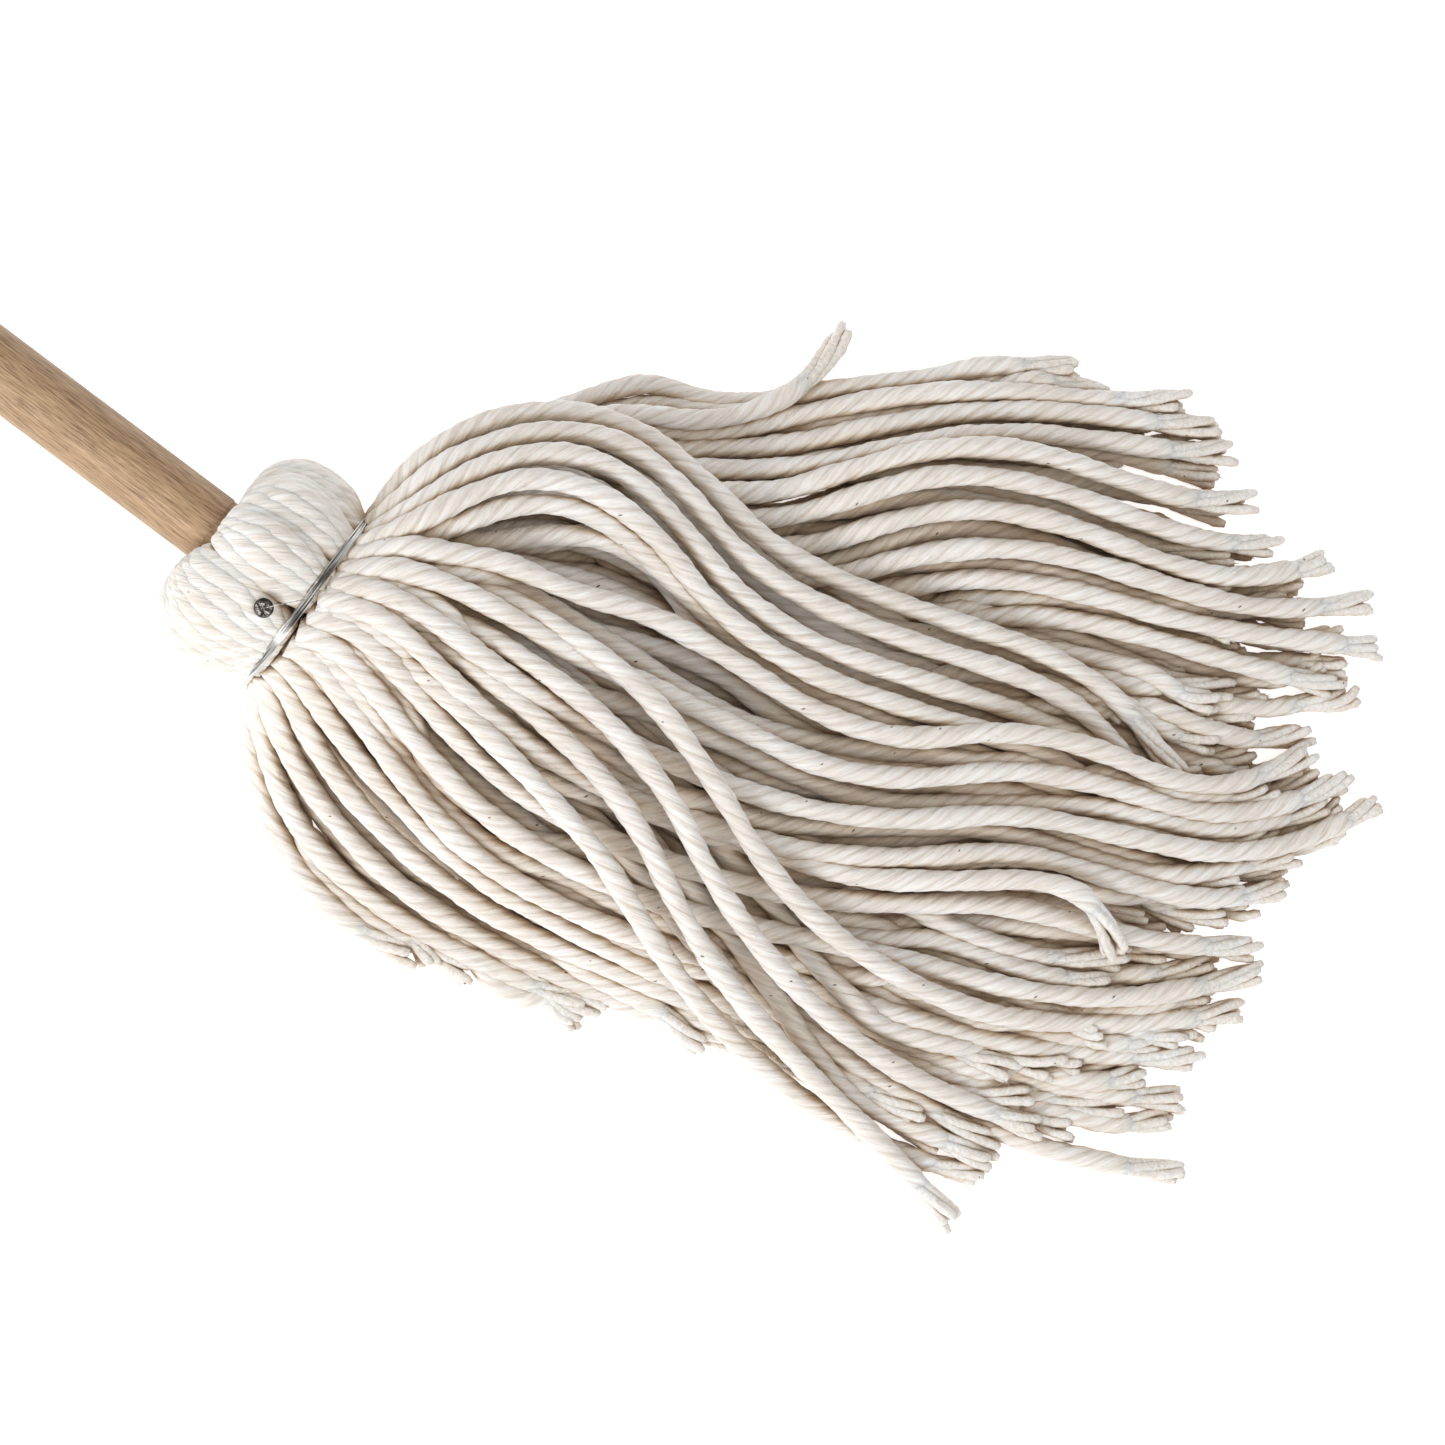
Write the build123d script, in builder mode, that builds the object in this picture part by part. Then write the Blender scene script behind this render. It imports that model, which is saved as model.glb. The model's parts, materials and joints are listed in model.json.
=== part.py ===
"""String mop: a turned wooden stick with a head of thick cotton yarn that is wired straight onto it.

The mop lies on the floor, z = 0, on its collar and on the far end of its handle.
+X runs along the handle towards the head, +Z is up, and all sizes are in millimetres.
The yarns are folded over an inner tie and bound down by a second, outer one. Their folds make the
plump collar behind the outer tie, and their free ends lie fanned out on the floor in front of it.
"""

import os
from math import asin, cos, pi, radians, sin, tan

from build123d import *

# Handle
HANDLE_LENGTH = 1200.0
HANDLE_R = 12.0
HANDLE_END_ROUND = 6.0
HANDLE_TIP_CHAMFER = 2.0
SEAT_R = 11.6  # the stick is turned down slightly where the yarn is wound on it
SEAT_BACK = -38.5
TIP_PAST_TIE = 30.0  # how far the stick goes on into the head, past the outer tie

# Collar of folded yarns, measured back from the outer tie along the stick
COLLAR_R = 40.0
COLLAR_WIDEST = 17.0
FOLD_BACK = -38.0  # where the folds are, along the stick from the outer tie
FOLD_OUTER_R = 33.0
FOLD_ROUND = 6.0
FOLD_GAP = 1.0  # between the folds and the back of the inner layer
COLLAR_INNER_R = 22.5
COLLAR_LOOPS = 8
TIE_FRONT = 2.0  # half the length of yarn that the outer tie squeezes
NECK_R = 33.2

# Inner layer of yarn, on the stick under the folds
INNER_LAYER_R = 20.5
INNER_LAYER_BACK = 27.0
INNER_TIE_BACK = 14.0
INNER_WAIST_R = 18.5
INNER_WAIST_HALF = 2.5

# Ties and nails
OUTER_WIRE_D = 0.5
OUTER_WIRE_TURNS = 6
OUTER_WIRE_PITCH = 0.52
INNER_WIRE_D = 1.0
INNER_WIRE_TURNS = 3
INNER_WIRE_PITCH = 1.04
NAIL_BACK = 9.5
NAIL_ANGLE = 18.0  # degrees from the top of the collar, towards -Y
NAIL_HEAD_R = 3.2
NAIL_HEAD_THICK = 1.2
NAIL_SHANK_R = 1.1
NAIL_HEAD_CHAMFER = 0.5
NAIL_INTO_STICK = 6.0
NAIL_CLEARANCE = 0.05
NAIL_SEAT_R = 39.0  # the nail's head sits this far from the stick's axis
INNER_NAIL_BACK = 9.0
INNER_NAIL_ANGLE = 200.0

# Yarn
YARN_R = 3.5
NECK_CORE_R = 19.5
NECK_CORE_LENGTH = 44.0
NECK_CORE_TAPER = 12.0
NECK_CORE_FRONT_R = 14.0
ARC_SHARE = 0.45  # of the shorter run beside a corner that its arc takes up

# Where the head is. The origin is under the middle of the stick.
TILT = asin((COLLAR_R - HANDLE_R) / (HANDLE_LENGTH - TIP_PAST_TIE - HANDLE_END_ROUND - COLLAR_WIDEST))
HEAD_X = HANDLE_LENGTH / 2 - TIP_PAST_TIE
AXIS_Z = COLLAR_R / cos(TILT) + COLLAR_WIDEST * sin(TILT)
STICK_DIRECTION = Vector(cos(TILT), 0, sin(TILT))
TIE_CENTRE = Vector(HEAD_X, 0, AXIS_Z)
STICK_AXIS = Axis(TIE_CENTRE, STICK_DIRECTION)

# Each yarn's route: x from the outer tie along the floor, y across, z up from the floor.
# The heights step down from the top of the neck, and a yarn that crosses others goes over or under them.
YARN_ROUTES = {
    "arch_1": [
        (3, 29, 45), (0, 46, 47), (4, 71, 46), (21, 96, 44), (49, 112, 42), (79, 113, 39),
        (111, 108, 36), (143, 115, 33), (179, 127, 29), (214, 140, 25), (249, 144, 20), (281, 134, 15),
    ],
    "arch_2": [
        (3, 28, 51), (4, 44, 55), (10, 68, 54), (27, 91, 52), (50, 105, 49), (78, 105, 46),
        (109, 98, 43), (143, 103, 39), (179, 115, 34), (214, 129, 27), (249, 133, 20), (276, 123, 15),
    ],
    "arch_3": [
        (3, 25, 56), (8, 40, 62), (15, 62, 61), (29, 83, 58), (51, 96, 55), (79, 95, 51), (111, 87, 47),
        (144, 90, 43), (180, 103, 36), (216, 117, 25), (254, 128, 14), (286, 140, 7),
    ],
    "arch_4": [
        (3, 21, 61), (11, 37, 68), (19, 55, 67), (31, 74, 63), (52, 85, 60), (78, 86, 56),
        (109, 78, 51), (144, 80, 46), (178, 91, 38), (211, 104, 30), (245, 114, 24), (280, 116, 16),
    ],
    "arch_5": [
        (3, 18, 56), (14, 33, 61), (24, 49, 64), (35, 66, 61), (53, 78, 57), (76, 80, 53),
        (104, 76, 47), (140, 76, 38), (174, 83, 34), (210, 96, 27), (246, 106, 22), (282, 109, 14),
    ],
    "arch_6": [
        (3, 22, 50), (16, 34, 52), (32, 47, 54), (47, 62, 52), (63, 74, 51), (83, 79, 47),
        (106, 73, 38), (140, 69, 29), (175, 74, 26), (212, 86, 22), (250, 103, 15), (285, 118, 9),
        (314, 134, 5),
    ],
    "under_1": [
        (3, 29, 32), (5, 46, 22), (14, 74, 13), (26, 99, 8), (38, 119, 5), (50, 134, 5), (70, 139, 5),
        (86, 152, 5), (102, 171, 5), (124, 191, 5), (144, 215, 5), (169, 230, 5),
    ],
    "under_2": [
        (3, 26, 25), (10, 43, 17), (22, 70, 11), (37, 97, 9), (54, 117, 9), (79, 132, 9), (97, 155, 10),
        (121, 182, 11), (148, 205, 11), (179, 224, 9), (207, 245, 6),
    ],
    "under_3": [
        (3, 22, 19), (14, 41, 12), (31, 70, 9), (49, 98, 8), (74, 122, 10), (98, 141, 12),
        (119, 166, 13), (142, 191, 13), (171, 213, 12), (199, 230, 10), (223, 245, 6),
    ],
    "under_4": [
        (3, 23, 31), (16, 40, 26), (31, 65, 21), (49, 90, 18), (74, 113, 18), (105, 136, 18),
        (128, 163, 20), (155, 192, 18), (186, 212, 14), (212, 227, 10), (231, 242, 6),
    ],
    "under_5": [
        (3, 24, 38), (19, 37, 35), (35, 61, 29), (54, 84, 25), (78, 107, 23), (104, 124, 23),
        (120, 147, 26), (140, 173, 27), (168, 193, 25), (199, 204, 20), (228, 216, 14), (247, 232, 8),
    ],
    "under_6": [
        (3, 20, 42), (23, 32, 40), (43, 56, 33), (65, 84, 26), (93, 105, 22), (114, 122, 24),
        (129, 144, 28), (148, 168, 29), (178, 185, 27), (211, 196, 21), (241, 208, 14), (263, 224, 7),
    ],
    "under_7": [
        (3, 19, 25), (25, 36, 24), (48, 63, 20), (76, 86, 17), (104, 103, 19), (126, 118, 22),
        (141, 141, 26), (161, 163, 28), (191, 179, 26), (226, 189, 21), (259, 204, 14), (281, 232, 6),
    ],
    "under_8": [
        (3, 13, 20), (29, 27, 20), (52, 51, 19), (82, 75, 17), (112, 94, 18), (139, 115, 22),
        (157, 140, 26), (182, 162, 27), (214, 177, 24), (249, 190, 18), (279, 207, 11), (303, 231, 5),
    ],
    "under_9": [
        (3, 16, 13), (27, 24, 12), (50, 45, 11), (72, 69, 10), (101, 86, 10), (133, 100, 13),
        (157, 124, 18), (180, 148, 22), (212, 165, 21), (248, 179, 17), (283, 198, 11), (316, 219, 5),
    ],
    "under_10": [
        (3, 10, 12), (35, 19, 10), (62, 43, 9), (91, 65, 8), (125, 81, 8), (153, 98, 10),
        (175, 121, 13), (198, 146, 17), (234, 165, 17), (274, 180, 12), (312, 198, 5),
    ],
    "middle_1": [
        (3, 17, 64), (10, 29, 70), (26, 38, 68), (44, 48, 64), (67, 53, 60), (92, 64, 55),
        (125, 69, 49), (158, 72, 43), (189, 83, 39), (215, 108, 37), (245, 123, 31), (278, 131, 23),
        (303, 149, 14), (316, 176, 6),
    ],
    "middle_2": [
        (3, 12, 67), (12, 22, 72), (28, 29, 70), (51, 34, 66), (78, 37, 60), (108, 45, 54),
        (140, 52, 48), (170, 58, 43), (199, 74, 39), (225, 99, 34), (258, 116, 27), (293, 128, 18),
        (318, 150, 11), (332, 175, 6),
    ],
    "middle_3": [
        (3, 7, 69), (13, 14, 74), (31, 18, 71), (55, 18, 67), (83, 19, 60), (114, 26, 53),
        (147, 34, 47), (177, 45, 43), (207, 63, 38), (237, 89, 33), (275, 106, 26), (310, 123, 17),
        (335, 150, 9), (347, 175, 5),
    ],
    "middle_4": [
        (3, 1, 70), (12, 7, 74), (32, 9, 70), (56, 5, 65), (85, 4, 57), (116, 9, 50), (146, 18, 45),
        (179, 30, 41), (213, 51, 36), (245, 79, 31), (282, 92, 24), (318, 108, 15), (337, 129, 8),
    ],
    "middle_5": [
        (3, -5, 69), (13, 0, 72), (32, -1, 66), (57, -6, 58), (86, -10, 50), (119, -6, 44),
        (151, 3, 41), (187, 17, 35), (220, 37, 30), (252, 61, 25), (284, 74, 20), (316, 88, 13),
        (342, 106, 7),
    ],
    "middle_6": [
        (3, -11, 68), (13, -7, 69), (30, -10, 62), (57, -17, 53), (89, -22, 45), (122, -19, 40),
        (154, -11, 35), (190, 4, 31), (230, 23, 25), (271, 38, 19), (307, 58, 13), (333, 83, 9),
        (348, 101, 7),
    ],
    "middle_7": [
        (3, -16, 65), (12, -14, 65), (28, -19, 57), (55, -27, 46), (89, -35, 38), (124, -32, 32),
        (160, -23, 26), (198, -7, 22), (242, 7, 17), (285, 23, 11), (320, 43, 6), (350, 63, 4),
    ],
    "crossing_1": [
        (3, 0, 64), (23, 11, 64), (48, 14, 62), (75, 14, 63), (105, 12, 62), (132, 5, 58),
        (158, -8, 50), (187, -18, 39), (221, -24, 26), (257, -28, 15), (289, -32, 9), (313, -37, 4),
    ],
    "crossing_2": [
        (3, 6, 63), (23, 17, 64), (47, 24, 62), (75, 27, 65), (106, 26, 64), (134, 19, 61),
        (159, 7, 54), (189, -2, 44), (220, -7, 32), (253, -7, 20), (287, -1, 11), (317, 8, 7),
    ],
    "crossing_3": [
        (3, 12, 61), (20, 26, 62), (42, 37, 59), (72, 42, 62), (107, 42, 63), (142, 32, 60),
        (171, 21, 52), (201, 16, 43), (232, 18, 33), (267, 25, 22), (299, 42, 12), (328, 63, 7),
        (352, 87, 5),
    ],
    "crossing_4": [
        (3, -6, 63), (25, 2, 64), (48, 2, 64), (74, -1, 62), (101, -5, 60), (128, -10, 55),
        (154, -20, 46), (185, -29, 32), (221, -34, 17), (261, -32, 5), (290, -26, 4), (312, -16, 4),
    ],
    "edge_1": [
        (3, -21, 61), (15, -22, 57), (36, -30, 47), (62, -35, 38), (95, -40, 30), (131, -36, 22),
        (166, -30, 15), (200, -22, 10), (236, -19, 6), (270, -15, 4), (302, -10, 4),
    ],
    "edge_2": [
        (3, -25, 56), (14, -28, 50), (33, -38, 40), (58, -45, 31), (90, -48, 23), (125, -45, 16),
        (159, -37, 13), (193, -28, 10), (228, -24, 7),
    ],
    "edge_3": [
        (3, -28, 51), (12, -36, 43), (30, -46, 32), (52, -53, 23), (82, -58, 14), (118, -55, 7),
        (154, -48, 5), (186, -39, 4), (213, -30, 4),
    ],
    "edge_4": [
        (3, -29, 45), (9, -39, 36), (24, -51, 24), (44, -62, 15), (71, -67, 9), (103, -65, 6),
        (135, -59, 4), (165, -52, 4),
    ],
    "edge_5": [
        (3, -30, 39), (9, -43, 26), (23, -56, 12), (39, -67, 6), (59, -75, 4), (83, -78, 4),
        (106, -73, 4),
    ],
    "low_1": [
        (3, -11, 61), (27, -9, 55), (55, -12, 47), (90, -16, 38), (131, -15, 29), (172, -9, 20),
        (213, -1, 12), (255, 7, 7), (295, 17, 5), (330, 32, 4), (354, 48, 4),
    ],
    "low_2": [
        (3, -16, 57), (25, -16, 49), (52, -24, 37), (91, -32, 25), (131, -31, 16), (172, -23, 9),
        (216, -17, 5), (259, -12, 4), (300, -3, 4), (338, 9, 4), (370, 27, 4),
    ],
    "stray_1": [
        (3, 3, 58), (29, 10, 57), (57, 14, 56), (90, 18, 50), (127, 20, 42), (166, 24, 38),
        (202, 35, 38), (232, 56, 37), (257, 76, 36), (280, 81, 33), (298, 68, 29),
    ],
    "stray_2": [
        (3, 30, 39), (3, 48, 33), (16, 74, 24), (31, 97, 17), (49, 119, 15), (72, 131, 15),
        (88, 152, 14), (93, 170, 10), (93, 191, 5),
    ],
}

# The rest of the yarn, as plain bundles that lie on the floor under the separate yarns.
# Each station is x from the outer tie, y across, width and height.
YARN_BUNDLES = {
    "yarn_bundle_middle": [
        (62, 0, 26, 34),
        (96, 6, 40, 30),
        (140, 18, 50, 26),
        (190, 52, 54, 19),
        (235, 86, 50, 13),
        (285, 112, 34, 6),
    ],
    "yarn_bundle_right": [
        (170, 118, 22, 8),
        (196, 150, 32, 12),
        (232, 170, 38, 13),
        (272, 178, 36, 8),
        (304, 190, 26, 4),
    ],
    "yarn_bundle_lower": [
        (48, -34, 18, 24),
        (84, -34, 30, 18),
        (124, -27, 36, 14),
        (170, -8, 30, 9),
        (214, 14, 24, 5),
    ],
}


def write(piece, name):
    """Labels a finished piece and writes its STEP file."""
    piece.part.label = name
    export_step(piece.part, f"parts/{name}.step")


def outward(angle):
    """The direction away from the stick's axis, angle degrees from the top, towards -Y."""
    return Vector(-sin(TILT), 0, cos(TILT)) * cos(radians(angle)) + Vector(0, -1, 0) * sin(radians(angle))


def half_plane(angle):
    """A plane with x along the stick from the outer tie and y outward at that angle."""
    return Plane(origin=TIE_CENTRE, x_dir=STICK_DIRECTION, z_dir=STICK_DIRECTION.cross(outward(angle)))


def radial_plane(back, angle, radius):
    """A plane that faces away from the stick's axis, back from the tie at that angle and radius."""
    centre = TIE_CENTRE - STICK_DIRECTION * back + outward(angle) * radius
    return Plane(origin=centre, x_dir=STICK_DIRECTION, z_dir=outward(angle))


def arc_radii(points):
    """The radius at each corner of a route: as large as the shorter run beside it allows."""
    radii = []
    for before, corner, after in zip(points, points[1:], points[2:]):
        run_in = corner - before
        run_out = after - corner
        half_turn = radians(run_in.get_angle(run_out)) / 2
        radii.append(ARC_SHARE * min(run_in.length, run_out.length) / tan(half_turn))
    return radii


def cut_nail_hole(seat):
    """Cuts a nail's hole into the piece being built, from the plane of its head down to its point."""
    with BuildSketch(seat) as hole:
        Circle(NAIL_SHANK_R + NAIL_CLEARANCE)
    extrude(hole.sketch, amount=-(shank_length(seat) + NAIL_CLEARANCE), mode=Mode.SUBTRACT)


def shank_length(seat):
    """From the plane of a nail's head to its point in the stick."""
    radius = (seat.origin - TIE_CENTRE).dot(seat.z_dir)
    return radius - HANDLE_R + NAIL_INTO_STICK


def wind_wire(middle, radius, wire_d, pitch, turns):
    """Winds a wire round the stick in the part being built, centred on the middle point."""
    height = pitch * turns
    start = middle - STICK_DIRECTION * height / 2
    with BuildLine() as winding:
        coil = Helix(pitch=pitch, height=height, radius=radius, center=start, direction=STICK_DIRECTION)
    with BuildSketch(Plane(origin=coil @ 0, z_dir=coil % 0)) as section:
        Circle(wire_d / 2)
    sweep(section.sketch, path=winding.line, is_frenet=True)


os.makedirs("parts", exist_ok=True)

nail_seat = radial_plane(NAIL_BACK, NAIL_ANGLE, NAIL_SEAT_R)
inner_nail_seat = radial_plane(INNER_NAIL_BACK, INNER_NAIL_ANGLE, INNER_LAYER_R)

# Handle: a plain dowel with a rounded far end
far_end = TIP_PAST_TIE - HANDLE_LENGTH
with BuildPart() as handle:
    with BuildSketch(half_plane(0)):
        with BuildLine():
            Line((far_end, 0), (far_end, HANDLE_R - HANDLE_END_ROUND))
            RadiusArc(
                (far_end, HANDLE_R - HANDLE_END_ROUND),
                (far_end + HANDLE_END_ROUND, HANDLE_R),
                HANDLE_END_ROUND,
            )
            Polyline(
                (far_end + HANDLE_END_ROUND, HANDLE_R),
                (SEAT_BACK, HANDLE_R),
                (SEAT_BACK, SEAT_R),
                (TIP_PAST_TIE - HANDLE_TIP_CHAMFER, SEAT_R),
                (TIP_PAST_TIE, SEAT_R - HANDLE_TIP_CHAMFER),
                (TIP_PAST_TIE, 0),
                (far_end, 0),
            )
        make_face()
    revolve(axis=STICK_AXIS)
    cut_nail_hole(nail_seat)
    cut_nail_hole(inner_nail_seat)
write(handle, "handle")

# Inner layer of yarn, squeezed to a waist by the inner tie
with BuildPart() as inner_layer:
    with BuildSketch(half_plane(0)):
        with BuildLine():
            Polyline(
                (-INNER_LAYER_BACK, INNER_LAYER_R),
                (-INNER_LAYER_BACK, SEAT_R),
                (TIE_FRONT, SEAT_R),
                (TIE_FRONT, INNER_LAYER_R),
                (-INNER_TIE_BACK + INNER_WAIST_HALF, INNER_WAIST_R),
                (-INNER_TIE_BACK - INNER_WAIST_HALF, INNER_WAIST_R),
                close=True,
            )
        make_face()
    revolve(axis=STICK_AXIS)
    cut_nail_hole(nail_seat)
    cut_nail_hole(inner_nail_seat)
write(inner_layer, "inner_yarn_layer")

# Collar: the folded yarns, as equal plump loops side by side round the stick
loop_angle = 360 / COLLAR_LOOPS
for number in range(COLLAR_LOOPS):
    with BuildPart() as collar_loop:
        with BuildSketch(half_plane(number * loop_angle)):
            with BuildLine():
                Line((TIE_FRONT, COLLAR_INNER_R), (TIE_FRONT, NECK_R))
                Line((TIE_FRONT, NECK_R), (-TIE_FRONT / 2, NECK_R))
                Spline(
                    (-TIE_FRONT / 2, NECK_R),
                    (-COLLAR_WIDEST, COLLAR_R),
                    (FOLD_BACK + FOLD_ROUND / 2, FOLD_OUTER_R),
                    (FOLD_BACK, COLLAR_INNER_R),
                    (FOLD_BACK + FOLD_ROUND, SEAT_R),
                    tangents=[(-0.3, 1), (1, -0.3)],
                )
                Polyline(
                    (FOLD_BACK + FOLD_ROUND, SEAT_R),
                    (-INNER_LAYER_BACK - FOLD_GAP, SEAT_R),
                    (-INNER_LAYER_BACK - FOLD_GAP, COLLAR_INNER_R),
                    (TIE_FRONT, COLLAR_INNER_R),
                )
            make_face()
        revolve(axis=STICK_AXIS, revolution_arc=loop_angle)
        cut_nail_hole(nail_seat)
    write(collar_loop, f"collar_loop_{number + 1}")

# Inner tie: thick wire wound over the waist of the inner layer
with BuildPart() as inner_tie:
    waist_centre = TIE_CENTRE - STICK_DIRECTION * INNER_TIE_BACK
    wind_wire(waist_centre, INNER_WAIST_R + INNER_WIRE_D / 2, INNER_WIRE_D, INNER_WIRE_PITCH, INNER_WIRE_TURNS)
write(inner_tie, "inner_wire_tie")

# Outer tie: thin bright wire wound over the neck
with BuildPart() as outer_tie:
    wind_wire(TIE_CENTRE, NECK_R + OUTER_WIRE_D, OUTER_WIRE_D, OUTER_WIRE_PITCH, OUTER_WIRE_TURNS)
write(outer_tie, "outer_wire_tie")

# Nails: a flat round head on a plain shank, driven through the yarn into the stick
for seat, name in ((nail_seat, "binding_nail"), (inner_nail_seat, "inner_nail")):
    with BuildPart() as nail:
        with BuildSketch(seat):
            Circle(NAIL_HEAD_R)
        extrude(amount=NAIL_HEAD_THICK)
        chamfer(nail.faces().sort_by(Axis(seat.origin, seat.z_dir))[-1].edges(), NAIL_HEAD_CHAMFER)
        with BuildSketch(seat):
            Circle(NAIL_SHANK_R)
        extrude(amount=-shank_length(seat))
    write(nail, name)

# Neck core: the middle of the yarn in front of the tie, closed over the stick's tip
with BuildPart() as neck_core:
    with BuildSketch(half_plane(0)):
        with BuildLine():
            Polyline(
                (TIE_FRONT, SEAT_R),
                (TIE_FRONT, NECK_CORE_R),
                (NECK_CORE_LENGTH - NECK_CORE_TAPER, NECK_CORE_FRONT_R),
                (NECK_CORE_LENGTH, NECK_CORE_FRONT_R / 2),
                (NECK_CORE_LENGTH, 0),
                (TIP_PAST_TIE, 0),
                (TIP_PAST_TIE, SEAT_R),
                close=True,
            )
        make_face()
    revolve(axis=STICK_AXIS)
write(neck_core, "yarn_neck_core")

# Bundles: closed solids with a flat underside on the floor and a rounded top
for name, stations in YARN_BUNDLES.items():
    centres = [Vector(HEAD_X + x, y, 0) for x, y, width, height in stations]
    with BuildPart() as bundle:
        for index, (x, y, width, height) in enumerate(stations):
            ahead = centres[min(index + 1, len(centres) - 1)] - centres[max(index - 1, 0)]
            side = Vector(0, 0, 1).cross(ahead)
            with BuildSketch(Plane(origin=centres[index], x_dir=side, z_dir=ahead)):
                with BuildLine():
                    EllipticalCenterArc((0, 0), width / 2, height, start_angle=0, arc_size=180)
                    Line((-width / 2, 0), (width / 2, 0))
                make_face()
        loft()
    write(bundle, name)

# Yarns: one tube along each route, of straight runs joined by tangent arcs
for name, route in YARN_ROUTES.items():
    points = [Vector(HEAD_X + x, y, z) for x, y, z in route]
    radii = arc_radii(points)
    with BuildPart() as yarn:
        with BuildLine() as path:
            FilletPolyline(*points, radius=radii)
        with BuildSketch(Plane(origin=points[0], z_dir=points[1] - points[0])):
            Circle(YARN_R)
        sweep()
    length = sum(edge.length for edge in path.edges())
    volume_ratio = yarn.part.volume / (pi * YARN_R**2 * length)
    print(f"{name}: length {length:.0f}, volume ratio {volume_ratio:.4f},", "radii", [round(r) for r in radii])
    write(yarn, f"yarn_{name}")
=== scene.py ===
"""String mop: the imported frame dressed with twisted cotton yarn, folded loops, wire and wood.

Everything is in metres, in the frame of the CAD model: +X along the handle to the head, +Z up.
"""

import json
import math

import bpy
import numpy as np
from mathutils import Matrix, Vector, kdtree


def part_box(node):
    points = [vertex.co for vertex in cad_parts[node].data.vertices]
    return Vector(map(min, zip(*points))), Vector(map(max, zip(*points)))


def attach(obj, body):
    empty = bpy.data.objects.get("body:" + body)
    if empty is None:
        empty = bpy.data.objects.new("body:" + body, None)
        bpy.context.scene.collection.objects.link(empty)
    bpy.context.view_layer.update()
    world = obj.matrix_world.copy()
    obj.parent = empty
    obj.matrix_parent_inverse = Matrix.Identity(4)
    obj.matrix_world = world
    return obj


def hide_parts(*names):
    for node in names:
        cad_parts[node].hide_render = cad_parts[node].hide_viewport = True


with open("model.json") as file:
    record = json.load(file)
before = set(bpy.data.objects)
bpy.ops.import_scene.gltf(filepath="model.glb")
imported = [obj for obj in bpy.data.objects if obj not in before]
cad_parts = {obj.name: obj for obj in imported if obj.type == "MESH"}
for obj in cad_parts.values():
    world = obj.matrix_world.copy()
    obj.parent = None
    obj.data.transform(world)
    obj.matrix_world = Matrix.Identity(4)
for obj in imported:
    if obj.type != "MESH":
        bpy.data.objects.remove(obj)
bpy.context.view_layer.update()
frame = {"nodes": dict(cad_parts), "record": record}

RANDOM = np.random.default_rng(12)

# Places, from the frame
GRIP = frame["record"]["mounts"][0]
STICK = -np.array(GRIP["axis"])
TIE = np.array([(low + high) / 2 for low, high in zip(*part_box("outer_wire_tie"))])
SIDE = np.array([0.0, 1.0, 0.0])
UP = np.cross(STICK, SIDE)
HEAD_X = TIE[0]

# Camera and light
CAMERA_PLACE = (HEAD_X - 0.028, -0.060, 1.2399)
CAMERA_TARGET = (HEAD_X + 0.13645, 0.05184, 0.030)
CAMERA_ROLL = 36.55
CAMERA_LENS = 90.33
LIGHT_TARGET = (HEAD_X + 0.12, 0.05, 0.03)
WORLD_STRENGTH = 0.68
FLOOR_Z = -0.0003

# Yarn
PLIES = 4
PLY_R = 0.00228
PLY_OUT = 0.00122  # from the yarn's middle to the middle of a ply
LAY = 0.033  # length of one turn of the twist
FLUFF = 0.026  # how uneven the surface is
RING_POINTS = 24
RING_STEP = 0.0019
MASS_RING_POINTS = 16
MASS_RING_STEP = 0.0026
NECK_SWELL = 1.16  # the bound yarn is pressed flat against its neighbours
NECK_LENGTH = 0.045
TIP_LENGTH = 0.022  # where the plies come apart
TIP_SPARE = 0.0015  # taken up by the loose fibres
TIP_PLIES = 5
FULLNESS = 1.06  # of the yarn, against its plies laid tight
TIP_SPREAD = (0.0018, 0.0031)
TIP_UNTWIST = 0.35  # the share of its twist that a loose ply keeps
TIP_NARROW = 0.62  # of the yarn's thickness, where the plies take over
THICK_WAVES = [(0.05, 0.083, 1.0), (0.055, 0.031, 1.7)]  # how much, how long, how shifted
FIBRES = 5  # loose ones on each ply's end
FIBRE_REACH = (0.001, 0.0026)
FIBRE_WIDTH = 0.00045
LIE_SHIFT = 1.7  # between two yarns' places in the cotton pattern
LINT_STEP = 0.0012
MASS_LINT_STEP = 0.004
LINT_OUT = 0.0017
LINT_LENGTH = 0.0018
LINT_WIDTH = 0.00018
LINT_ROOT = 0.88  # of the yarn's thickness, where a fibre starts
TIP_PLY_R = 0.0018

# Collar of folded loops: each loop's middle line, as distance along the stick and from its axis
LOOP_PROFILE = [
    (0.002, 0.0292), (-0.003, 0.0304), (-0.009, 0.0342), (-0.017, 0.0359), (-0.025, 0.0345),
    (-0.031, 0.0296), (-0.0335, 0.0232), (-0.031, 0.0185), (-0.024, 0.0165),
]
LOOP_R = 0.0043
INNER_LOOP_R = 0.0048
LOOP_LAYERS = [(50, LOOP_R, 0.0), (26, INNER_LOOP_R, 0.0055)]  # loops, their radius, how far inside
LOOP_WIDEST = 0.017  # behind the tie
LOBE_DIP = 0.0055  # how deep the creases between the lobes are
NAIL_AT = (-0.0095, -18.0)  # along the stick, and in degrees from the top towards +Y
NAIL_DIMPLE = 0.0026
LOBES = [(-56, 88), (7, 34), (40, 28), (80, 50), (127, 42), (172, 46), (221, 50)]  # middle, width in degrees
BIG_LOBE = 0  # the lobe with the nail, which is fuller than the others
BIG_OUT = 0.0022
BIG_BACK = 0.0035
YARN_RELIEF = 0.62  # how clearly the plies stand out: 1 is round plies, 0 a smooth yarn
COLLAR_RELIEF = 0.45

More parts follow.
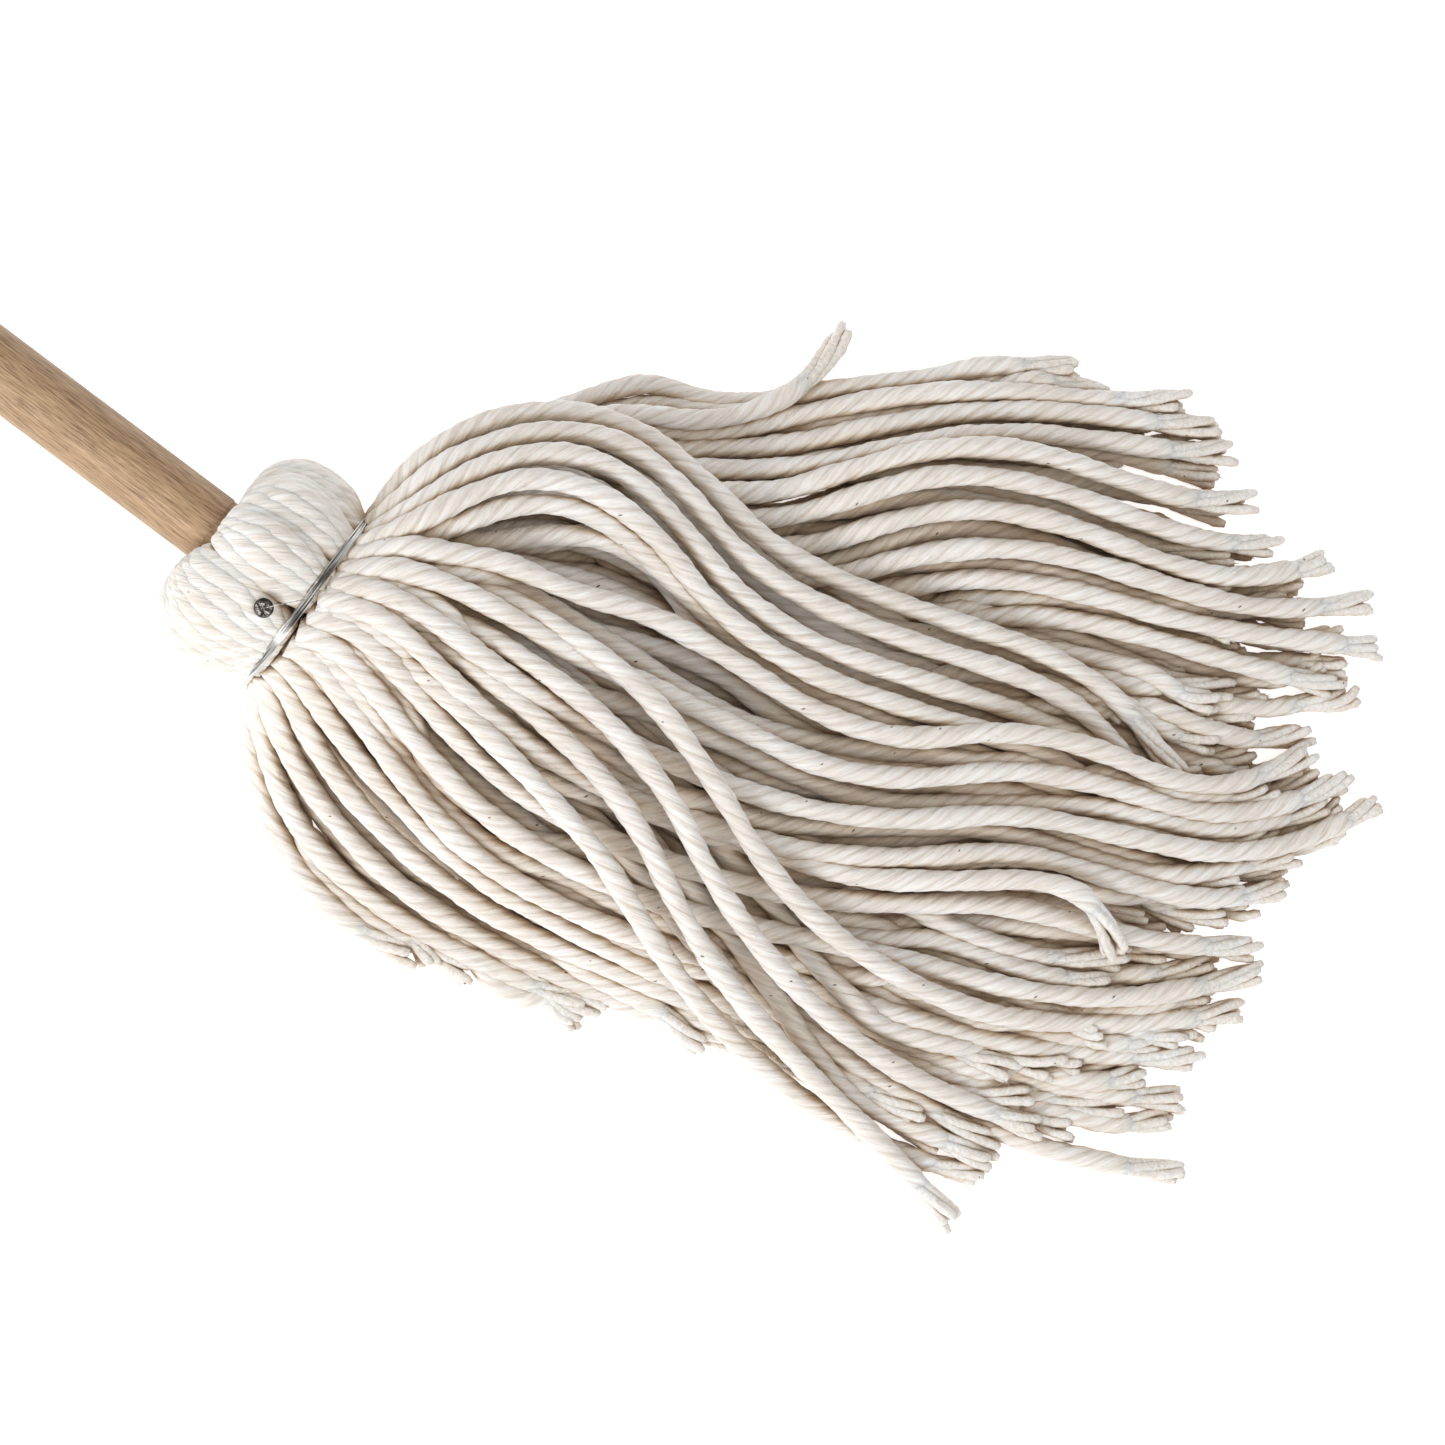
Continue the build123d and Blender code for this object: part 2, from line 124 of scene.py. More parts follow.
# Wire
WIRE_R = 0.00018
WIRE_TURNS = 6
WIRE_PITCH = 0.00032  # at the sides
WIRE_LOOSE = 0.00016  # more than that on top
WIRE_TAIL_SHARE = 0.8  # of the wire's thickness, where it is pulled to the nail
BAND_R = 0.0338

# Each yarn's route, as in the CAD model: x from the outer tie, y across, z up from the floor
YARN_ROUTES = {
    "arch_1": [
        (0.003, 0.029, 0.045), (-0.000, 0.046, 0.047), (0.004, 0.071, 0.046), (0.021, 0.096, 0.044),
        (0.049, 0.112, 0.042), (0.079, 0.113, 0.039), (0.111, 0.108, 0.036), (0.143, 0.115, 0.033),
        (0.179, 0.127, 0.029), (0.214, 0.140, 0.025), (0.249, 0.144, 0.020), (0.281, 0.134, 0.015),
    ],
    "arch_2": [
        (0.003, 0.028, 0.051), (0.004, 0.044, 0.055), (0.010, 0.068, 0.054), (0.027, 0.091, 0.052),
        (0.050, 0.105, 0.049), (0.078, 0.105, 0.046), (0.109, 0.098, 0.043), (0.143, 0.103, 0.039),
        (0.179, 0.115, 0.034), (0.214, 0.129, 0.027), (0.249, 0.133, 0.020), (0.276, 0.123, 0.015),
    ],
    "arch_3": [
        (0.003, 0.025, 0.056), (0.008, 0.040, 0.062), (0.015, 0.062, 0.061), (0.029, 0.083, 0.058),
        (0.051, 0.096, 0.055), (0.079, 0.095, 0.051), (0.111, 0.087, 0.047), (0.144, 0.090, 0.043),
        (0.180, 0.103, 0.036), (0.216, 0.117, 0.025), (0.254, 0.128, 0.014), (0.286, 0.140, 0.007),
    ],
    "arch_4": [
        (0.003, 0.021, 0.061), (0.011, 0.037, 0.068), (0.019, 0.055, 0.067), (0.031, 0.074, 0.063),
        (0.052, 0.085, 0.060), (0.078, 0.086, 0.056), (0.109, 0.078, 0.051), (0.144, 0.080, 0.046),
        (0.178, 0.091, 0.038), (0.211, 0.104, 0.030), (0.245, 0.114, 0.024), (0.280, 0.116, 0.016),
    ],
    "arch_5": [
        (0.003, 0.018, 0.056), (0.014, 0.033, 0.061), (0.024, 0.049, 0.064), (0.035, 0.066, 0.061),
        (0.053, 0.078, 0.057), (0.076, 0.080, 0.053), (0.104, 0.076, 0.047), (0.140, 0.076, 0.038),
        (0.174, 0.083, 0.034), (0.210, 0.096, 0.027), (0.246, 0.106, 0.022), (0.282, 0.109, 0.014),
    ],
    "arch_6": [
        (0.003, 0.022, 0.050), (0.016, 0.034, 0.052), (0.032, 0.047, 0.054), (0.047, 0.062, 0.052),
        (0.063, 0.074, 0.051), (0.083, 0.079, 0.047), (0.106, 0.073, 0.038), (0.140, 0.069, 0.029),
        (0.175, 0.074, 0.026), (0.212, 0.086, 0.022), (0.250, 0.103, 0.015), (0.285, 0.118, 0.009),
        (0.314, 0.134, 0.005),
    ],
    "under_1": [
        (0.003, 0.029, 0.032), (0.005, 0.046, 0.022), (0.014, 0.074, 0.013), (0.026, 0.099, 0.008),
        (0.038, 0.119, 0.005), (0.050, 0.134, 0.005), (0.070, 0.139, 0.005), (0.086, 0.152, 0.005),
        (0.102, 0.171, 0.005), (0.124, 0.191, 0.005), (0.144, 0.215, 0.005), (0.169, 0.230, 0.005),
    ],
    "under_2": [
        (0.003, 0.026, 0.025), (0.010, 0.043, 0.017), (0.022, 0.070, 0.011), (0.037, 0.097, 0.009),
        (0.054, 0.117, 0.009), (0.079, 0.132, 0.009), (0.097, 0.155, 0.010), (0.121, 0.182, 0.011),
        (0.148, 0.205, 0.011), (0.179, 0.224, 0.009), (0.207, 0.245, 0.006),
    ],
    "under_3": [
        (0.003, 0.022, 0.019), (0.014, 0.041, 0.012), (0.031, 0.070, 0.009), (0.049, 0.098, 0.008),
        (0.074, 0.122, 0.010), (0.098, 0.141, 0.012), (0.119, 0.166, 0.013), (0.142, 0.191, 0.013),
        (0.171, 0.213, 0.012), (0.199, 0.230, 0.010), (0.223, 0.245, 0.006),
    ],
    "under_4": [
        (0.003, 0.023, 0.031), (0.016, 0.040, 0.026), (0.031, 0.065, 0.021), (0.049, 0.090, 0.018),
        (0.074, 0.113, 0.018), (0.105, 0.136, 0.018), (0.128, 0.163, 0.020), (0.155, 0.192, 0.018),
        (0.186, 0.212, 0.014), (0.212, 0.227, 0.010), (0.231, 0.242, 0.006),
    ],
    "under_5": [
        (0.003, 0.024, 0.038), (0.019, 0.037, 0.035), (0.035, 0.061, 0.029), (0.054, 0.084, 0.025),
        (0.078, 0.107, 0.023), (0.104, 0.124, 0.023), (0.120, 0.147, 0.026), (0.140, 0.173, 0.027),
        (0.168, 0.193, 0.025), (0.199, 0.204, 0.020), (0.228, 0.216, 0.014), (0.247, 0.232, 0.008),
    ],
    "under_6": [
        (0.003, 0.020, 0.042), (0.023, 0.032, 0.040), (0.043, 0.056, 0.033), (0.065, 0.084, 0.026),
        (0.093, 0.105, 0.022), (0.114, 0.122, 0.024), (0.129, 0.144, 0.028), (0.148, 0.168, 0.029),
        (0.178, 0.185, 0.027), (0.211, 0.196, 0.021), (0.241, 0.208, 0.014), (0.263, 0.224, 0.007),
    ],
    "under_7": [
        (0.003, 0.019, 0.025), (0.025, 0.036, 0.024), (0.048, 0.063, 0.020), (0.076, 0.086, 0.017),
        (0.104, 0.103, 0.019), (0.126, 0.118, 0.022), (0.141, 0.141, 0.026), (0.161, 0.163, 0.028),
        (0.191, 0.179, 0.026), (0.226, 0.189, 0.021), (0.259, 0.204, 0.014), (0.281, 0.232, 0.006),
    ],
    "under_8": [
        (0.003, 0.013, 0.020), (0.029, 0.027, 0.020), (0.052, 0.051, 0.019), (0.082, 0.075, 0.017),
        (0.112, 0.094, 0.018), (0.139, 0.115, 0.022), (0.157, 0.140, 0.026), (0.182, 0.162, 0.027),
        (0.214, 0.177, 0.024), (0.249, 0.190, 0.018), (0.279, 0.207, 0.011), (0.303, 0.231, 0.005),
    ],
    "under_9": [
        (0.003, 0.016, 0.013), (0.027, 0.024, 0.012), (0.050, 0.045, 0.011), (0.072, 0.069, 0.010),
        (0.101, 0.086, 0.010), (0.133, 0.100, 0.013), (0.157, 0.124, 0.018), (0.180, 0.148, 0.022),
        (0.212, 0.165, 0.021), (0.248, 0.179, 0.017), (0.283, 0.198, 0.011), (0.316, 0.219, 0.005),
    ],
    "under_10": [
        (0.003, 0.010, 0.012), (0.035, 0.019, 0.010), (0.062, 0.043, 0.009), (0.091, 0.065, 0.008),
        (0.125, 0.081, 0.008), (0.153, 0.098, 0.010), (0.175, 0.121, 0.013), (0.198, 0.146, 0.017),
        (0.234, 0.165, 0.017), (0.274, 0.180, 0.012), (0.312, 0.198, 0.005),
    ],
    "middle_1": [
        (0.003, 0.017, 0.064), (0.010, 0.029, 0.070), (0.026, 0.038, 0.068), (0.044, 0.048, 0.064),
        (0.067, 0.053, 0.060), (0.092, 0.064, 0.055), (0.125, 0.069, 0.049), (0.158, 0.072, 0.043),
        (0.189, 0.083, 0.039), (0.215, 0.108, 0.037), (0.245, 0.123, 0.031), (0.278, 0.131, 0.023),
        (0.303, 0.149, 0.014), (0.316, 0.176, 0.006),
    ],
    "middle_2": [
        (0.003, 0.012, 0.067), (0.012, 0.022, 0.072), (0.028, 0.029, 0.070), (0.051, 0.034, 0.066),
        (0.078, 0.037, 0.060), (0.108, 0.045, 0.054), (0.140, 0.052, 0.048), (0.170, 0.058, 0.043),
        (0.199, 0.074, 0.039), (0.225, 0.099, 0.034), (0.258, 0.116, 0.027), (0.293, 0.128, 0.018),
        (0.318, 0.150, 0.011), (0.332, 0.175, 0.006),
    ],
    "middle_3": [
        (0.003, 0.007, 0.069), (0.013, 0.014, 0.074), (0.031, 0.018, 0.071), (0.055, 0.018, 0.067),
        (0.083, 0.019, 0.060), (0.114, 0.026, 0.053), (0.147, 0.034, 0.047), (0.177, 0.045, 0.043),
        (0.207, 0.063, 0.038), (0.237, 0.089, 0.033), (0.275, 0.106, 0.026), (0.310, 0.123, 0.017),
        (0.335, 0.150, 0.009), (0.347, 0.175, 0.005),
    ],
    "middle_4": [
        (0.003, 0.001, 0.070), (0.012, 0.007, 0.074), (0.032, 0.009, 0.070), (0.056, 0.005, 0.065),
        (0.085, 0.004, 0.057), (0.116, 0.009, 0.050), (0.146, 0.018, 0.045), (0.179, 0.030, 0.041),
        (0.213, 0.051, 0.036), (0.245, 0.079, 0.031), (0.282, 0.092, 0.024), (0.318, 0.108, 0.015),
        (0.337, 0.129, 0.008),
    ],
    "middle_5": [
        (0.003, -0.005, 0.069), (0.013, 0.000, 0.072), (0.032, -0.001, 0.066), (0.057, -0.006, 0.058),
        (0.086, -0.010, 0.050), (0.119, -0.006, 0.044), (0.151, 0.003, 0.041), (0.187, 0.017, 0.035),
        (0.220, 0.037, 0.030), (0.252, 0.061, 0.025), (0.284, 0.074, 0.020), (0.316, 0.088, 0.013),
        (0.342, 0.106, 0.007),
    ],
    "middle_6": [
        (0.003, -0.011, 0.068), (0.013, -0.007, 0.069), (0.030, -0.010, 0.062), (0.057, -0.017, 0.053),
        (0.089, -0.022, 0.045), (0.122, -0.019, 0.040), (0.154, -0.011, 0.035), (0.190, 0.004, 0.031),
        (0.230, 0.023, 0.025), (0.271, 0.038, 0.019), (0.307, 0.058, 0.013), (0.333, 0.083, 0.009),
        (0.348, 0.101, 0.007),
    ],
    "middle_7": [
        (0.003, -0.016, 0.065), (0.012, -0.014, 0.065), (0.028, -0.019, 0.057), (0.055, -0.027, 0.046),
        (0.089, -0.035, 0.038), (0.124, -0.032, 0.032), (0.160, -0.023, 0.026), (0.198, -0.007, 0.022),
        (0.242, 0.007, 0.017), (0.285, 0.023, 0.011), (0.320, 0.043, 0.006), (0.350, 0.063, 0.004),
    ],
    "crossing_1": [
        (0.003, 0.000, 0.064), (0.023, 0.011, 0.064), (0.048, 0.014, 0.062), (0.075, 0.014, 0.063),
        (0.105, 0.012, 0.062), (0.132, 0.005, 0.058), (0.158, -0.008, 0.050), (0.187, -0.018, 0.039),
        (0.221, -0.024, 0.026), (0.257, -0.028, 0.015), (0.289, -0.032, 0.009), (0.313, -0.037, 0.004),
    ],
    "crossing_2": [
        (0.003, 0.006, 0.063), (0.023, 0.017, 0.064), (0.047, 0.024, 0.062), (0.075, 0.027, 0.065),
        (0.106, 0.026, 0.064), (0.134, 0.019, 0.061), (0.159, 0.007, 0.054), (0.189, -0.002, 0.044),
        (0.220, -0.007, 0.032), (0.253, -0.007, 0.020), (0.287, -0.001, 0.011), (0.317, 0.008, 0.007),
    ],
    "crossing_3": [
        (0.003, 0.012, 0.061), (0.020, 0.026, 0.062), (0.042, 0.037, 0.059), (0.072, 0.042, 0.062),
        (0.107, 0.042, 0.063), (0.142, 0.032, 0.060), (0.171, 0.021, 0.052), (0.201, 0.016, 0.043),
        (0.232, 0.018, 0.033), (0.267, 0.025, 0.022), (0.299, 0.042, 0.012), (0.328, 0.063, 0.007),
        (0.352, 0.087, 0.005),
    ],
    "crossing_4": [
        (0.003, -0.006, 0.063), (0.025, 0.002, 0.064), (0.048, 0.002, 0.064), (0.074, -0.001, 0.062),
        (0.101, -0.005, 0.060), (0.128, -0.010, 0.055), (0.154, -0.020, 0.046), (0.185, -0.029, 0.032),
        (0.221, -0.034, 0.017), (0.261, -0.032, 0.005), (0.290, -0.026, 0.004), (0.312, -0.016, 0.004),
    ],
    "edge_1": [
        (0.003, -0.021, 0.061), (0.015, -0.022, 0.057), (0.036, -0.030, 0.047), (0.062, -0.035, 0.038),
        (0.095, -0.040, 0.030), (0.131, -0.036, 0.022), (0.166, -0.030, 0.015), (0.200, -0.022, 0.010),
        (0.236, -0.019, 0.006), (0.270, -0.015, 0.004), (0.302, -0.010, 0.004),
    ],
    "edge_2": [
        (0.003, -0.025, 0.056), (0.014, -0.028, 0.050), (0.033, -0.038, 0.040), (0.058, -0.045, 0.031),
        (0.090, -0.048, 0.023), (0.125, -0.045, 0.016), (0.159, -0.037, 0.013), (0.193, -0.028, 0.010),
        (0.228, -0.024, 0.007),
    ],
    "edge_3": [
        (0.003, -0.028, 0.051), (0.012, -0.036, 0.043), (0.030, -0.046, 0.032), (0.052, -0.053, 0.023),
        (0.082, -0.058, 0.014), (0.118, -0.055, 0.007), (0.154, -0.048, 0.005), (0.186, -0.039, 0.004),
        (0.213, -0.030, 0.004),
    ],
    "edge_4": [
        (0.003, -0.029, 0.045), (0.009, -0.039, 0.036), (0.024, -0.051, 0.024), (0.044, -0.062, 0.015),
        (0.071, -0.067, 0.009), (0.103, -0.065, 0.006), (0.135, -0.059, 0.004), (0.165, -0.052, 0.004),
    ],
    "edge_5": [
        (0.003, -0.030, 0.039), (0.009, -0.043, 0.026), (0.023, -0.056, 0.012), (0.039, -0.067, 0.006),
        (0.059, -0.075, 0.004), (0.083, -0.078, 0.004), (0.106, -0.073, 0.004),
    ],
    "low_1": [
        (0.003, -0.011, 0.061), (0.027, -0.009, 0.055), (0.055, -0.012, 0.047), (0.090, -0.016, 0.038),
        (0.131, -0.015, 0.029), (0.172, -0.009, 0.020), (0.213, -0.001, 0.012), (0.255, 0.007, 0.007),
        (0.295, 0.017, 0.005), (0.330, 0.032, 0.004), (0.354, 0.048, 0.004),
    ],
    "low_2": [
        (0.003, -0.016, 0.057), (0.025, -0.016, 0.049), (0.052, -0.024, 0.037), (0.091, -0.032, 0.025),
        (0.131, -0.031, 0.016), (0.172, -0.023, 0.009), (0.216, -0.017, 0.005), (0.259, -0.012, 0.004),
        (0.300, -0.003, 0.004), (0.338, 0.009, 0.004), (0.370, 0.027, 0.004),
    ],
    "stray_1": [
        (0.003, 0.003, 0.058), (0.029, 0.010, 0.057), (0.057, 0.014, 0.056), (0.090, 0.018, 0.050),
        (0.127, 0.020, 0.042), (0.166, 0.024, 0.038), (0.202, 0.035, 0.038), (0.232, 0.056, 0.037),
        (0.257, 0.076, 0.036), (0.280, 0.081, 0.033), (0.298, 0.068, 0.029),
    ],
    "stray_2": [
        (0.003, 0.030, 0.039), (0.003, 0.048, 0.033), (0.016, 0.074, 0.024), (0.031, 0.097, 0.017),
        (0.049, 0.119, 0.015), (0.072, 0.131, 0.015), (0.088, 0.152, 0.014), (0.093, 0.170, 0.010),
        (0.093, 0.191, 0.005),
    ],
}

# The strands under the separate ones: the routes that each lies between, and how deep each layer is
# (1 is level with the routes, 0 on the floor)
MASS_STEP = 0.0045
MASS_APART = 0.0060
SETTLE_ROUNDS = 14
DEEP = (0.78, 0.55, 0.3)
SHALLOW = (0.7, 0.4)
MASS_PIECES = 6
WANDER = 0.004  # how far a hidden strand swings from side to side
PULLED_IN = 0.45  # how much nearer to the stick's axis a deep strand is at the neck
NECK_REACH = 0.05  # how far from the tie that lasts
SUNK = 0.9
REST_Z = 0.0035  # the middle of a yarn that lies on the floor
MASS_PAIRS = (
    [(f"middle_{n}", f"middle_{n + 1}", (0.95, 0.5)) for n in range(1, 7)]
    + [("arch_6", "under_10", (0.75, 0.55, 0.4, 0.25)), ("under_9", "middle_2", (0.6, 0.4, 0.2))]
    + [("middle_1", "arch_5", (0.7, 0.5)), ("middle_2", "under_10", (0.5, 0.3))]
    + [("middle_7", "low_1", (0.8, 0.6, 0.4, 0.2)), ("middle_6", "low_2", (0.7, 0.5, 0.3))]
    + [("under_9", "middle_1", (0.8, 0.6, 0.4, 0.2)), ("under_10", "middle_2", (0.85, 0.6, 0.35))]
    + [(f"under_{n}", f"under_{n + 1}", (0.9, 0.3)) for n in range(6, 10)]
    + [("arch_6", "middle_1", (0.8, 0.6, 0.4, 0.2)), ("crossing_3", "middle_2", (0.8, 0.5, 0.3))]
    + [("crossing_4", "low_1", (0.7, 0.45)), ("arch_1", "under_7", (0.6, 0.4))]
    + [("arch_3", "under_9", (0.6, 0.4))]
    + [(f"arch_{n}", f"arch_{n + 1}", DEEP) for n in range(1, 6)]
    + [("arch_6", "under_6", (0.6, 0.35)), ("arch_6", "under_8", (0.55, 0.3))]
    + [(f"under_{n}", f"under_{n + 1}", SHALLOW) for n in range(1, 10)]
    + [("under_10", "middle_1", (0.7, 0.45, 0.25))]
    + [(f"middle_{n}", f"middle_{n + 1}", (0.85, 0.62, 0.4, 0.2)) for n in range(1, 7)]
    + [(f"crossing_{n}", f"crossing_{n + 1}", (0.75, 0.45)) for n in range(1, 4)]
    + [("middle_7", "edge_1", (0.8, 0.55, 0.3)), ("low_1", "low_2", (0.8, 0.5))]
    + [("low_1", "middle_6", (0.7, 0.4))]
    + [(f"edge_{n}", f"edge_{n + 1}", SHALLOW) for n in range(1, 5)]
)


# Lines


def nurbs_line(points):
    """Points along the smooth NURBS line with these control points."""
    curve = bpy.data.curves.new("route", "CURVE")
    curve.dimensions = "3D"
    curve.resolution_u = 10
    spline = curve.splines.new("NURBS")
    spline.points.add(len(points) - 1)
    for knot, point in zip(spline.points, points):
        knot.co = (*point, 1.0)
    spline.order_u = 3
    spline.use_endpoint_u = True
    route = bpy.data.objects.new("route", curve)
    line = bpy.data.meshes.new_from_object(route)
    result = np.array([vertex.co[:] for vertex in line.vertices])
    bpy.data.objects.remove(route)
    bpy.data.curves.remove(curve)
    bpy.data.meshes.remove(line)
    return result


def distances(line):
    """How far along the line each of its points is."""
    return np.concatenate([[0.0], np.cumsum(np.linalg.norm(np.diff(line, axis=0), axis=1))])


def evenly(line, step):
    """The same line with its points evenly apart."""
    along = distances(line)
    count = max(int(round(along[-1] / step)), 3) + 1
    places = np.linspace(0, along[-1], count)
    return np.stack([np.interp(places, along, line[:, axis]) for axis in range(3)], axis=1)


def smoothed(line, times):
    """The line with its kinks averaged away; its ends stay."""
    line = line.copy()
    for _ in range(times):
        line[1:-1] = 0.5 * line[1:-1] + 0.25 * (line[:-2] + line[2:])
    return line


def frames(line):
    """Two directions across the line at each point, which turn no more than they must."""
    tangents = np.gradient(line, axis=0)
    tangents /= np.linalg.norm(tangents, axis=1)[:, None]
    first = np.zeros_like(line)
    start = np.cross(tangents[0], [0.0, 0.0, 1.0])
    if np.linalg.norm(start) < 0.1:
        start = np.cross(tangents[0], [0.0, 1.0, 0.0])
    first[0] = start / np.linalg.norm(start)
    for index in range(1, len(line)):
        carried = first[index - 1] - tangents[index] * (first[index - 1] @ tangents[index])
        first[index] = carried / np.linalg.norm(carried)
    return tangents, first, np.cross(tangents, first)


# Meshes


class Fabric:
    """Collects the vertices, faces and yarn attributes of one piece."""

    def __init__(self):
        self.vertices, self.faces, self.lies, self.grooves = [], [], [], []
        self.count = 0

    def add_tube(self, rings, lie, groove):
        """A closed tube through the rings, an array of rings x points x 3."""
        ring_count, around = rings.shape[:2]
        index = np.arange(ring_count * around).reshape(ring_count, around) + self.count
        beside = np.roll(index, -1, axis=1)
        quads = np.stack([index[:-1], beside[:-1], beside[1:], index[1:]], axis=-1).reshape(-1, 4)
        self.vertices.append(rings.reshape(-1, 3))
        self.lies.append(lie.reshape(-1, 3))
        self.grooves.append(groove.reshape(-1))
        self.faces += quads.tolist()
        self.faces.append(index[0][::-1].tolist())
        self.faces.append(index[-1].tolist())
        self.count += ring_count * around

    def add_ribbon(self, line, across, width, lie):
        """A flat strip along a line, for one loose fibre bundle."""
        taper = np.linspace(1.0, 0.15, len(line))[:, None] * width / 2
        pair = np.stack([line - across * taper, line + across * taper], axis=1)
        index = np.arange(len(line) * 2).reshape(-1, 2) + self.count
        quads = np.stack([index[:-1, 0], index[:-1, 1], index[1:, 1], index[1:, 0]], axis=-1)
        self.vertices.append(pair.reshape(-1, 3))
        self.lies.append(np.repeat(lie[None], len(line) * 2, axis=0))
        self.grooves.append(np.zeros(len(line) * 2))
        self.faces += quads.tolist()
        self.count += len(line) * 2

    def piece(self, name, material):
        """The finished mesh object, in the scene."""
        mesh = bpy.data.meshes.new(name)
        points = np.concatenate(self.vertices)
        points[:, 2] = np.maximum(points[:, 2], 0.0)  # soft yarn is pressed flat where it lies on the floor
        mesh.from_pydata(points.tolist(), [], self.faces)
        lies = mesh.attributes.new("lie", "FLOAT_VECTOR", "POINT")
        lies.data.foreach_set("vector", np.concatenate(self.lies).ravel())
        grooves = mesh.attributes.new("groove", "FLOAT", "POINT")
        grooves.data.foreach_set("value", np.concatenate(self.grooves))
        mesh.shade_smooth()
        mesh.materials.append(material)
        result = bpy.data.objects.new(name, mesh)
        bpy.context.scene.collection.objects.link(result)
        return result


def round_rings(line, radii, points):
    """Plain round rings along a line."""
    _, first, second = frames(line)
    angles = np.linspace(0, 2 * math.pi, points, endpoint=False)
    spokes = first[:, None] * np.cos(angles)[None, :, None]
    spokes = spokes + second[:, None] * np.sin(angles)[None, :, None]
    return line[:, None] + spokes * np.asarray(radii)[:, None, None]


def twisted_rings(line, along, scale, points, number, relief=YARN_RELIEF):
    """The rings of a yarn of several plies along a line, with their lie, their grooves and the twist."""
    _, first, second = frames(line)
    twist = RANDOM.uniform(0, 2 * math.pi) - 2 * math.pi * along / LAY
    ring = np.linspace(0, 2 * math.pi, points, endpoint=False)
    from_ply = (ring + math.pi / PLIES) % (2 * math.pi / PLIES) - math.pi / PLIES
    outline = PLY_OUT * np.cos(from_ply) + np.sqrt(PLY_R**2 - (PLY_OUT * np.sin(from_ply)) ** 2)
    crest = PLY_OUT + PLY_R
    depth = (crest - outline) / (crest - outline.min())
    outline = crest - (crest - outline) * relief
    angles = ring[None] + twist[:, None]
    spokes = first[:, None] * np.cos(angles)[..., None] + second[:, None] * np.sin(angles)[..., None]
    fluff = 1 + RANDOM.normal(0, FLUFF, angles.shape)
    rings = line[:, None] + spokes * (outline[None] * scale[:, None] * fluff)[..., None]
    lie = np.stack(
        [
            np.broadcast_to(np.cos(ring) * crest, angles.shape),
            np.broadcast_to(np.sin(ring) * crest, angles.shape),
            np.broadcast_to(along[:, None], angles.shape) + number * LIE_SHIFT,
        ],
        axis=-1,
    )
    groove = np.broadcast_to(depth, angles.shape)
    return rings, lie, groove, (first, second, twist)


def add_yarn(fabric, line, points, step, number, lint_step):
    """One twisted yarn along a line, with its plies coming apart at the far end."""
    line = evenly(line, step)
    along = distances(line)
    phase = RANDOM.uniform(0, 2 * math.pi)
    scale = NECK_SWELL + (1 - NECK_SWELL) * np.clip(along / NECK_LENGTH, 0, 1)
    scale *= FULLNESS
    for size, length, shift in THICK_WAVES:
        scale *= 1 + size * np.sin(along * 2 * math.pi / length + phase * shift)
    tip = min(TIP_LENGTH * RANDOM.uniform(0.7, 1.3), along[-1] * 0.4)
    from_end = along[-1] - tip * 0.75 - along
    scale *= TIP_NARROW + (1 - TIP_NARROW) * np.clip(from_end / (tip * 0.4), 0.0, 1.0)
    rings, lie, groove, across = twisted_rings(line, along, scale, points, number)
    body = from_end > 0
    fabric.add_tube(rings[body], lie[body], groove[body])
    add_lint(fabric, line[body], scale[body] * (PLY_OUT + PLY_R), lint_step, number)
    add_tip(fabric, line, along, across, tip, number)


def add_tip(fabric, line, along, across_yarn, tip, number):
    """The plies at a yarn's end, blunt and apart, with a few loose fibres."""
    first, second, twist = across_yarn
    length = along[-1]
    places = np.linspace(length - tip * 1.25, length - TIP_SPARE, 9)
    centre = np.stack([np.interp(places, along, line[:, axis]) for axis in range(3)], axis=1)
    across = np.stack([np.interp(places, along, first[:, axis]) for axis in range(3)], axis=1)
    other = np.stack([np.interp(places, along, second[:, axis]) for axis in range(3)], axis=1)
    turn = np.interp(places, along, twist)
    share = np.linspace(0, 1, len(places))
    untwisted = turn[0] + (turn - turn[0]) * TIP_UNTWIST
    for ply in range(TIP_PLIES):
        spread = RANDOM.uniform(*TIP_SPREAD)
        angle = untwisted + ply * 2 * math.pi / TIP_PLIES + RANDOM.uniform(-0.5, 0.5) * share
        out = PLY_OUT + spread * share**1.2
        ply_line = centre + across * (np.cos(angle) * out)[:, None]
        ply_line = ply_line + other * (np.sin(angle) * out)[:, None]
        shorter = 1.0 if ply == 0 else RANDOM.uniform(0.86, 1.0)
        ply_line = evenly(ply_line, 0.002)
        ply_line = ply_line[: max(int(len(ply_line) * shorter), 4)]
        ply_line[:, 2] = np.maximum(ply_line[:, 2], TIP_PLY_R)
        radii = TIP_PLY_R * (1 + RANDOM.normal(0, 0.05, len(ply_line)))
        radii[-1] *= 0.7
        rings = round_rings(ply_line, radii, 8)
        lie = rings - ply_line[0] + np.array([ply * 0.004, 0.0, number * LIE_SHIFT])
        fabric.add_tube(rings, lie, np.zeros(rings.shape[:2]))
        add_fibres(fabric, ply_line, radii, number)


